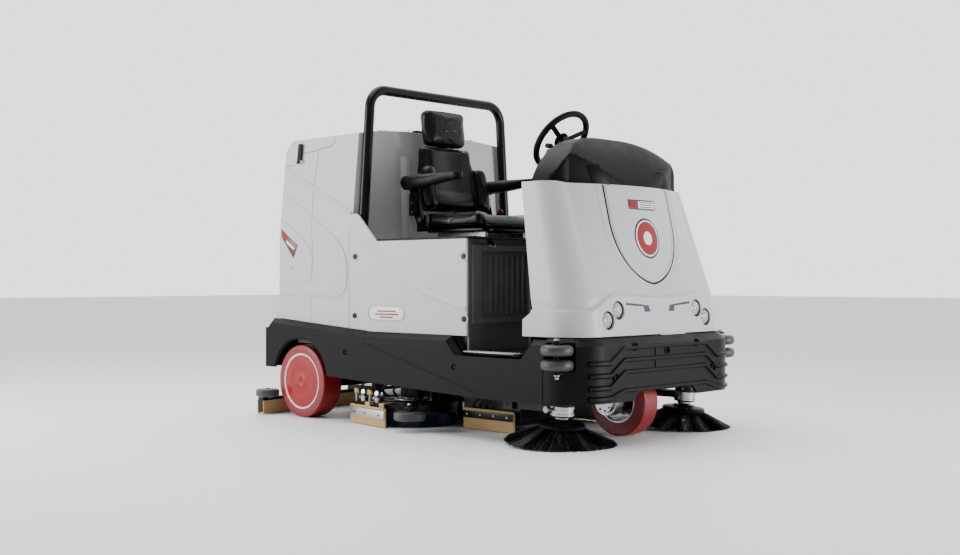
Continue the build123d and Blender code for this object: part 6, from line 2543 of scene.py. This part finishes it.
@dataclass
class Wheels(Assembly):
    """Rear wheels, the steered drive wheel and its motor."""

    def __post_init__(self) -> None:
        """List the CAD nodes' finishes."""
        self.paints = {
            "rear_wheel_right": Look.TREAD,
            "rear_wheel_left": Look.TREAD,
            "drive_wheel": Look.TREAD,
            "drive_fork": Look.FRAME,
            "drive_motor": Look.ALLOY,
        }

    def build(self) -> None:
        """Add hub discs, ring lines and bolts."""
        for name, side in SIDES:
            body = f"rear_wheel_{name}_body"
            face = side * 636.0
            centre = (REAR_AXLE_X, face, 200)
            lathe(
                f"rear_ring_{name}",
                [(148.0, -5), (148.0, -0.6), (149.5, 0.5), (153, 0.5), (154.4, -0.6), (154.4, -3)],
                centre,
                (0, side, 0),
                Look.WHITE,
                body,
                96,
            )
            lathe(
                f"rear_disc_{name}",
                [
                    (0, -1.6), (20, -1.6), (24, 0.4), (30, 0.6),
                    (34, -1.4), (96, -1.8), (100, -0.6), (104, -1.8),
                    (140, -2.2), (147, -3.6), (147, -6), (0, -6),
                ],
                centre,
                (0, side, 0),
                Look.HUB,
                body,
                96,
            )
            lathe(
                f"rear_shoulder_{name}",
                [(154, -6), (155, -0.6), (172, 0.8), (186, 0.2), (192, -2.4), (192, -6)],
                centre,
                (0, side, 0),
                Look.TREAD,
                body,
                96,
            )
            lathe(
                f"drive_ring_{name}",
                [(98, -6), (98, 0.6), (101, 2), (105, 2), (107, 0.6), (107, -6)],
                (DRIVE_AXLE_X, side * 54.6, 170),
                (0, side, 0),
                Look.ALLOY,
                "drive_wheel_body",
                72,
            )
            points = []
            for k in range(6):
                a = math.pi / 3 * k
                points.append(
                    (DRIVE_AXLE_X + 66 * math.cos(a), side * 45.0, 170 + 66 * math.sin(a))
                )
            Scatter(
                f"drive_nuts_{name}",
                points,
                [(0, side, 0)] * 6,
                Look.ZINC,
                "drive_wheel_body",
                9,
                8,
                8,
                6,
            ).build()
        for k in range(4):
            lathe(
                f"motor_fin_{k}",
                [(63, 0), (67.5, 0.6), (67.5, 3.4), (63, 4)],
                (DRIVE_AXLE_X, -92 - k * 13, 170),
                (0, -1, 0),
                Look.ALLOY,
                "fork",
                64,
            )
        points = []
        for k in range(8):
            a = math.pi / 4 * k + 0.2
            points.append((DRIVE_AXLE_X + 40 * math.cos(a), -156.0, 170 + 40 * math.sin(a)))
        Scatter(
            "motor_screws", points, [(0, -1, 0)] * 8, Look.SCREW, "fork", 4, 4.5, 4.5, 6
        ).build()
        tube(
            "motor_cable",
            [
                (DRIVE_AXLE_X - 10, -122, 246),
                (DRIVE_AXLE_X - 30, -128, 290),
                (DRIVE_AXLE_X - 20, -80, 330),
                (DRIVE_AXLE_X, -40, 372),
            ],
            6,
            Look.HOSE,
            "fork",
        )


@dataclass
class ScrubDeck(Assembly):
    """Brush deck with its motors, blades, rollers, knobs and hoses."""

    def __post_init__(self) -> None:
        """List the CAD nodes' finishes."""
        self.paints = {
            "brush_deck": Look.FRAME,
            "brush_motors": Look.FRAME,
            "deck_blades": Look.GUM,
            "deck_roller_right": Look.ROLLER,
            "deck_roller_left": Look.ROLLER,
        }

    def build(self) -> None:
        """Replace the disc brushes, then add the fittings."""
        for name, x, y, seed in (
            ("right", -208.0, -370.26, 3),
            ("left", -208.0, 370.26, 5),
            ("centre", -544.38, 0.0, 9),
        ):
            self.brush(name, x, y, seed)
        for name, side in SIDES:
            self.blade(name, side)
            self.knobs(name, side)
            self.roller(name, side)
        self.motors()

    def brush(self, name: str, x: float, y: float, seed: int) -> None:
        """Build one disc brush with bristles.

        Args:
            name: right, left or centre.
            x: Its middle.
            y: Its middle.
            seed: Seed of the bristles.
        """
        body = f"disc_{name}"
        plate = lathe(
            f"disc_plate_{name}",
            [
                (14.2, 74),
                (110, 74),
                (118, 62),
                (236, 62),
                (240, 66),
                (240, 84),
                (232, 88),
                (60, 88),
                (40, 92),
                (14.2, 92),
            ],
            (x, y, 0),
            (0, 0, 1),
            Look.BLUE,
            body,
            72,
        )
        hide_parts(f"disc_brush_{name}")
        chance = random.Random(seed)
        points, ways = [], []
        for ring, radius in enumerate((236.0, 228.0, 212.0, 190.0, 166.0, 140.0, 116.0)):
            count = int(radius * (2.6 if ring < 2 else 1.1))
            for k in range(count):
                a = 2 * math.pi * (k + chance.random() * 0.6) / count
                r = radius + chance.uniform(-1.5, 1.5)
                way = Vector((math.cos(a) * 0.06, math.sin(a) * 0.06, -1.0)).normalized()
                root = Vector((x + r * math.cos(a), y + r * math.sin(a), 64))
                points.append(root)
                ways.append(way)
        Scatter(
            f"disc_bristles_{name}", points, ways, Look.BLUE, body, 59.0, 1.3, 0.8, 4, 0.03, seed
        ).build()

    def blade(self, name: str, side: int) -> None:
        """Dress one side blade with its plates and bolts.

        Args:
            name: right or left.
            side: -1 for right, 1 for left.
        """
        rear = Vector((-460, side * 592.3, 0))
        front = Vector((-113, side * 654.3, 0))
        along = (front - rear).normalized()
        out = Vector((along.y, -along.x, 0)) if side < 0 else Vector((-along.y, along.x, 0))
        turn = Matrix((along, out, along.cross(out))).transposed()
        middle = (rear + front) / 2
        block(
            f"blade_plate_{name}", (344, 3, 40), tuple(
                middle + out * 7.6 + Vector((0, 0, 68))
            ), Look.ALLOY, "deck", turn, 0.8
        )
        block(
            f"blade_cap_{name}", (338, 9, 12), tuple(
                middle + out * 4 + Vector((0, 0, 97))
            ), Look.GUM, "deck", turn, 2.5
        )
        for k, t in enumerate((-0.36, -0.05, 0.36)):
            place = middle + along * (t * 340) + out * 9.4 + Vector((0, 0, 64))
            block(f"blade_slot_{name}_{k}", (20, 2, 7), tuple(place), Look.SCREW, "deck", turn, 0.8)

    def knobs(self, name: str, side: int) -> None:
        """Add the wing knobs, clamps and hoses over a blade.

        Args:
            name: right or left.
            side: -1 for right, 1 for left.
        """
        for k, (x, y) in enumerate(((-436, 572), (-300, 596))):
            y *= side
            lathe(
                f"knob_stem_{name}_{k}",
                [(0, 0), (7, 0), (7, 40), (13, 42), (13, 56), (0, 58)],
                (x, y, 117),
                (0, 0, 1),
                Look.ZINC,
                "deck",
                20,
            )
            wing = Matrix.Rotation(math.radians(25 * side), 3, "Z")
            block(
                f"knob_wing_{name}_{k}", (58, 14, 22), (x, y, 172), Look.YELLOW, "deck", wing, 4, 3
            )
            lathe(
                f"clamp_{name}_{k}",
                [(0, 0), (17, 0), (17, 26), (12, 30), (0, 30)],
                (x + 46, y - side * 14, 118),
                (0, 0, 1),
                Look.ALLOY,
                "deck",
                28,
            )
            lathe(
                f"coupling_{name}_{k}",
                [(0, 0), (13, 0), (13, 10), (16, 12), (16, 30), (11, 34), (0, 34)],
                (x + 40, y - side * 34, 158),
                (0.2, side * 0.9, 0.3),
                Look.ALLOY,
                "deck",
                28,
            )
            block(
                f"link_{name}_{k}", (88, 8, 16), (x + 36, y - side * 24, 150), Look.ZINC, "deck",
                Matrix.Rotation(math.radians(-24), 3, "Y"), 2,
            )
        for k in range(4):
            x = -430 + k * 78
            tube(
                f"deck_hose_{name}_{k}",
                [
                    (x, side * 500, 150),
                    (x + 20, side * (560 - k * 6), 186),
                    (x + 60, side * (566 - k * 10), 218),
                    (x + 80, side * 500, 262),
                    (x + 74, side * 420, 300),
                ],
                5.5,
                Look.HOSE,
                "deck",
            )
        tube(
            f"deck_brace_{name}",
            [
                (-420, side * 520, 128),
                (-300, side * 560, 134),
                (-140, side * 560, 134),
                (-60, side * 500, 128),
            ],
            6,
            Look.FRAME,
            "deck",
            smoothing=4,
        )

    def roller(self, name: str, side: int) -> None:
        """Dress the deck's side roller.

        Args:
            name: right or left.
            side: -1 for right, 1 for left.
        """
        body = f"deck_roller_{name}_body"
        y = side * 655.26
        lathe(
            f"deck_roller_hub_{name}",
            [(10, 22), (30, 22.6), (46, 24), (60, 22.8), (62, 21)],
            (72, y, 80),
            (0, 0, 1),
            Look.ROLLER,
            body,
            64,
        )
        lathe(
            f"deck_roller_nut_{name}",
            [(0, 9), (9, 9), (11, 6), (11, 0), (0, 0)],
            (72, y, 134),
            (0, 0, 1),
            Look.ZINC,
            "deck",
            6,
        )

    def motors(self) -> None:
        """Add caps, flanges and flange bolts to the brush motors."""
        for name, x, y in (
            ("right", -208.0, -370.26), ("left", -208.0, 370.26), ("centre", -544.38, 0.0)
        ):
            lathe(
                f"brush_motor_cap_{name}",
                [(0, 272), (40, 272), (58, 268), (66, 258), (71.5, 250), (71.5, 246)],
                (x, y, 0),
                (0, 0, 1),
                Look.SCREW,
                "deck",
                48,
            )
            lathe(
                f"brush_motor_flange_{name}",
                [(71, 118), (96, 118), (98, 122), (96, 130), (74, 132), (71, 140)],
                (x, y, 0),
                (0, 0, 1),
                Look.ALLOY,
                "deck",
                48,
            )
            points = []
            for k in range(8):
                a = math.pi / 4 * k
                points.append((x + 86 * math.cos(a), y + 86 * math.sin(a), 134))
            Scatter(
                f"flange_bolts_{name}", points, [(0, 0, 1)] * 8, Look.ZINC, "deck", 6, 6, 6, 6
            ).build()


@dataclass
class Sweeper(Assembly):
    """Sweeping head: broom, flaps and the two side brushes."""

    def __post_init__(self) -> None:
        """List the CAD nodes' finishes."""
        self.paints = {
            "sweeper_flaps": Look.GUM,
            "side_arm_right": Look.FRAME,
            "side_arm_left": Look.FRAME,
        }

    def build(self) -> None:
        """Replace the brushes and dress the flaps."""
        self.broom()
        for name, side in SIDES:
            self.flap(name, side)
            self.side_brush(name, side)

    def broom(self) -> None:
        """Build the cylindrical broom."""
        core = lathe(
            "broom_core",
            [(12, -334), (12, -312), (60, -312), (60, 312), (12, 312), (12, 334), (0, 334)],
            (350, 0, 112),
            (0, 1, 0),
            Look.SCREW,
            "broom_body",
            48,
        )
        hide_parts("broom")
        chance = random.Random(21)
        points, ways = [], []
        for _ in range(9000):
            y = chance.uniform(-306, 306)
            strip = chance.randrange(12)
            a = 2 * math.pi * strip / 12 + y * 0.006 + chance.gauss(0, 0.05)
            way = Vector((math.cos(a), chance.gauss(0, 0.03), math.sin(a))).normalized()
            points.append(Vector((350, y, 112)) + way * 59.0)
            ways.append(way)
        Scatter(
            "broom_bristles", points, ways, Look.BRISTLE, "broom_body", 45.0, 0.9, 0.6, 3, 0.06, 4
        ).build()

    def flap(self, name: str, side: int) -> None:
        """Dress one flap with its clamp plate and screws.

        Args:
            name: right or left.
            side: -1 for right, 1 for left.
        """
        y = side * 365.4
        block(
            f"flap_plate_{name}",
            (344, 4, 36),
            (335, y + side * 1.4, 77),
            Look.FRAME,
            "chassis",
            bevel_mm=1,
        )
        block(
            f"flap_cap_{name}",
            (350, 12, 12),
            (335, side * 358, 103),
            Look.GUM,
            "chassis",
            bevel_mm=3,
        )
        points = [(196 + k * 92, y + side * 4.6, 79) for k in range(4)]
        Scatter(
            f"flap_screws_{name}", points, [(0, side, 0)] * 4, Look.ZINC, "chassis", 4, 6.5, 5.5, 12
        ).build()
        for k in range(3):
            tube(
                f"flap_hose_{name}_{k}",
                [
                    (230 + k * 46, side * 352, 108),
                    (250 + k * 40, side * 372, 140),
                    (300 + k * 20, side * 360, 178),
                    (330, side * 340, 214),
                ],
                6,
                Look.HOSE,
                "chassis",
            )

    def side_brush(self, name: str, side: int) -> None:
        """Build one side brush with its splayed bristles.

        Args:
            name: right or left.
            side: -1 for right, 1 for left.
        """
        axis = Vector(
            (math.sin(math.radians(5)), side * math.sin(math.radians(1.5)), 1.0)
        ).normalized()
        turn = frame_from_axis(axis)
        foot = Vector((918, side * 487, 0))
        body = f"side_brush_{name}_body"
        plate = lathe(
            f"side_brush_plate_{name}",
            [
                (12.3, 84),
                (40, 84),
                (52, 78),
                (96, 76),
                (106, 80),
                (110, 88),
                (110, 96),
                (104, 103),
                (84, 107),
                (58, 109),
                (50, 116),
                (12.3, 116),
            ],
            tuple(foot),
            tuple(axis),
            Look.TRIM,
            body,
            64,
        )
        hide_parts(f"side_brush_{name}")
        chance = random.Random(40 + side)
        rows = (
            (1250, 92, 104, 266, 8, 181, Look.BRISTLE),
            (800, 78, 96, 244, 7, 176, Look.BRISTLE),
            (450, 64, 84, 212, 6, 164, Look.BRISTLE),
            # The last row uses the lighter bristle: painted highlight on some strands.
            (190, 90, 104, 266, 9, 182, Look.BRISTLE_HIGHLIGHT),
        )
        for k, (count, low, high, tip_r, tip_z, length, look) in enumerate(rows):
            points, ways = [], []
            for _ in range(count):
                a = chance.uniform(0, 2 * math.pi)
                r0 = chance.uniform(low, high)
                root = Vector((r0 * math.cos(a), r0 * math.sin(a), 84 + chance.uniform(-3, 3)))
                b = a + chance.gauss(0, 0.05)
                reach = tip_r - abs(chance.gauss(0, 6))
                tip = Vector(
                    (reach * math.cos(b), reach * math.sin(b), tip_z + chance.uniform(0, 8))
                )
                way = (tip - root).normalized()
                points.append(foot + turn @ root)
                ways.append(turn @ way)
            Scatter(
                f"side_bristles_{name}_{k}",
                points,
                ways,
                look,
                body,
                length,
                1.0,
                0.7,
                4,
                0.08,
                11 + k,
            ).build()
        self.arm(name, side, axis, foot)

    def arm(self, name: str, side: int, axis: Vector, foot: Vector) -> None:
        """Dress the side brush's arm and motor.

        Args:
            name: right or left.
            side: -1 for right, 1 for left.
            axis: Spin axis.
            foot: Where the axis meets the floor.
        """
        body = f"side_arm_{name}_body"
        lathe(
            f"side_collar_{name}",
            [
                (53, 140),
                (57, 142),
                (57, 150),
                (53.4, 152),
                (53.4, 170),
                (57, 172),
                (57, 184),
                (53, 186),
            ],
            tuple(foot),
            tuple(axis),
            Look.ALLOY,
            body,
            56,
        )
        lathe(
            f"side_gland_{name}",
            [(12.2, 116), (26, 117), (34, 124), (34, 133), (12.2, 133)],
            tuple(foot),
            tuple(axis),
            Look.ZINC,
            body,
            40,
        )
        points, ways = [], []
        turn = frame_from_axis(axis)
        for k in range(6):
            a = math.pi / 3 * k
            points.append(foot + turn @ Vector((46 * math.cos(a), 46 * math.sin(a), 198)))
            ways.append(axis)
        Scatter(f"side_bolts_{name}", points, ways, Look.ZINC, body, 6, 5, 5, 6).build()
        lathe(
            f"side_knob_{name}",
            [(0, 0), (8, 0), (8, 20), (15, 22), (15, 38), (0, 40)],
            (905, side * 540, 168),
            (0, side, 0),
            Look.ZINC,
            body,
            24,
        )
        tube(
            f"side_cable_{name}",
            [
                (905, side * 470, 272),
                (860, side * 452, 282),
                (780, side * 462, 240),
                (700, side * 470, 200),
            ],
            5,
            Look.HOSE,
            body,
        )


@dataclass
class Squeegee(Assembly):
    """Rear squeegee with blades, rollers and suction hose."""

    def __post_init__(self) -> None:
        """List the CAD nodes' finishes."""
        self.paints = {
            "squeegee_frame": Look.FRAME,
            "squeegee_blades": Look.GUM,
            "squeegee_roller_right": Look.ROLLER,
            "squeegee_roller_left": Look.ROLLER,
        }

    def build(self) -> None:
        """Add knobs, roller hubs, screws and the ribbed hose."""
        for name, side in SIDES:
            lathe(
                f"squeegee_roller_hub_{name}",
                [(9, 20), (24, 20.6), (44, 22), (52, 20.6)],
                (-1097, side * 672, 122),
                (0, 0, 1),
                Look.ROLLER,
                f"squeegee_roller_{name}_body",
                56,
            )
            lathe(
                f"squeegee_knob_{name}",
                [(0, 22), (10, 22), (14, 18), (14, 4), (8, 0), (0, 0)],
                (-1146, side * 250, 96),
                (0, 0, 1),
                Look.YELLOW,
                "squeegee",
                12,
            )
        radius = (705.0**2 + 39.0**2) / (2 * 39.0)
        points = []
        for k in range(15):
            y = -660 + k * 94.3
            x = -1159 - 25 + (radius - math.sqrt(radius**2 - y**2)) - 3.4
            points.append((x, y, 60))
        Scatter(
            "squeegee_screws",
            points,
            [(-1, 0, 0)] * len(points),
            Look.ZINC,
            "squeegee",
            4,
            6,
            5,
            12,
        ).build()
        tube(
            "suction_hose",
            [(-1159, 0, 160), (-1159, 0, 200), (-1130, 0, 245), (-1085, 0, 262), (-1040, 0, 262)],
            27,
            Look.HOSE,
            "squeegee",
            20,
            8,
        )
        rings = polyline(
            rounded(
                [
                    (-1159, 0, 168),
                    (-1159, 0, 200),
                    (-1130, 0, 245),
                    (-1085, 0, 262),
                    (-1040, 0, 262),
                ],
                2,
            ), 9
        )
        for k in range(2, len(rings) - 1):
            way = (rings[k + 1] - rings[k - 1]).normalized()
            lathe(
                f"hose_rib_{k}", [
                    (26, -2), (29.5, 0), (26, 2)
                ], tuple(rings[k]), tuple(way), Look.HOSE, "squeegee", 24
            )


@dataclass
class Studio:
    """Floor, light and camera.

    Args:
        eye: Camera position in millimetres.
        azimuth: Where it looks from, in degrees.
        lens: Focal length in millimetres on the sensor.
        sensor: Width of the sensor in millimetres.
        turn_range: How far towards the back a direction looks, from where the world's light
            is weakest to where it is strongest.
        world_range: The world's weakest and strongest light.
    """

    eye: Point = (4557.0, -4785.0, 774.0)
    azimuth: float = 44.05
    lens: float = 45.54
    sensor: float = 36.0
    turn_range: tuple[float, float] = (-0.5, 0.8)
    world_range: tuple[float, float] = (0.32, 2.1)

    def build(self) -> None:
        """Set up the studio."""
        self.camera()
        self.floor()
        self.lights()

    def camera(self) -> None:
        """Add the level camera at the photograph's angle."""
        data = bpy.data.cameras.new("camera")
        data.lens = self.lens
        data.sensor_width = self.sensor
        data.clip_end = 100.0
        camera = bpy.data.objects.new("camera", data)
        camera.location = mm(*self.eye)
        camera.rotation_euler = Euler((math.pi / 2, 0, math.radians(self.azimuth)), "XYZ")
        bpy.context.scene.collection.objects.link(camera)
        bpy.context.scene.camera = camera

    def floor(self) -> None:
        """Add the pale floor."""
        finish = Finish(
            "pale studio floor", "f6f6f6", "f4f4f4", 0.55, 0.04, grain_mm=30.0, bump=0.0
        )
        mesh = bpy.data.meshes.new("floor")
        reach = 40.0
        mesh.from_pydata(
            [(-reach, -reach, 0), (reach, -reach, 0), (reach, reach, 0), (-reach, reach, 0)],
            [],
            [(0, 1, 2, 3)],
        )
        mesh.materials.append(finish.build())
        floor = bpy.data.objects.new("floor", mesh)
        bpy.context.scene.collection.objects.link(floor)

    def area(
        self, name: str, place: Point, aim: Point, size: tuple[float, float], power: float
    ) -> None:
        """Add one soft light.

        Args:
            name: Name of the light.
            place: Its position in metres.
            aim: The point it faces, in metres.
            size: Its width and height in metres.
            power: Its power in watts.
        """
        data = bpy.data.lights.new(name, "AREA")
        data.shape = "RECTANGLE"
        data.size, data.size_y = size
        data.energy = power
        lamp = bpy.data.objects.new(name, data)
        lamp.location = place
        lamp.rotation_euler = (Vector(aim) - Vector(place)).to_track_quat("-Z", "Y").to_euler()
        bpy.context.scene.collection.objects.link(lamp)

    def lights(self) -> None:
        """Add the world light and the soft boxes."""
        world = bpy.data.worlds.new("studio")
        bpy.context.scene.world = world
        world.use_nodes = True
        tree = world.node_tree
        back = tree.nodes["Background"]
        back.inputs["Color"].default_value = (1, 1, 1, 1)
        turn = math.radians(self.azimuth)
        where = add_node(tree, "ShaderNodeTexCoord")
        behind = add_node(tree, "ShaderNodeVectorMath", {"operation": "DOT_PRODUCT"})
        tree.links.new(where.outputs["Generated"], behind.inputs[0])
        behind.inputs[1].default_value = (-math.sin(turn), math.cos(turn), 0.0)
        wall = add_node(tree, "ShaderNodeMapRange", {"interpolation_type": "SMOOTHSTEP"})
        tree.links.new(behind.outputs["Value"], wall.inputs["Value"])
        ends = zip(("From Min", "From Max", "To Min", "To Max"), self.turn_range + self.world_range)
        for socket, value in ends:
            wall.inputs[socket].default_value = value
        tree.links.new(wall.outputs["Result"], back.inputs["Strength"])
        self.area("top", (-0.5, -0.8, 4.6), (0, 0, 0.6), (4.5, 3.0), 160)
        self.area("side", (-3.2, -4.6, 2.0), (-0.6, 0, 0.8), (2.6, 2.4), 210)
        self.area("front", (5.2, 1.9, 1.0), (0.9, 0, 0.8), (1.2, 1.8), 170)


def main() -> None:
    """Build the whole machine, then the studio."""
    logging.basicConfig(level=logging.INFO, format="%(name)s %(message)s")
    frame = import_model()
    assemblies: Iterable[Assembly] = (
        Chassis(frame),
        TankBody(frame),
        FrontEnd(frame),
        Controls(frame),
        Seat(frame),
        Wheels(frame),
        ScrubDeck(frame),
        Sweeper(frame),
        Squeegee(frame),
    )
    for assembly in assemblies:
        assembly.dress()
    Studio().build()


if __name__ == "__main__":
    main()
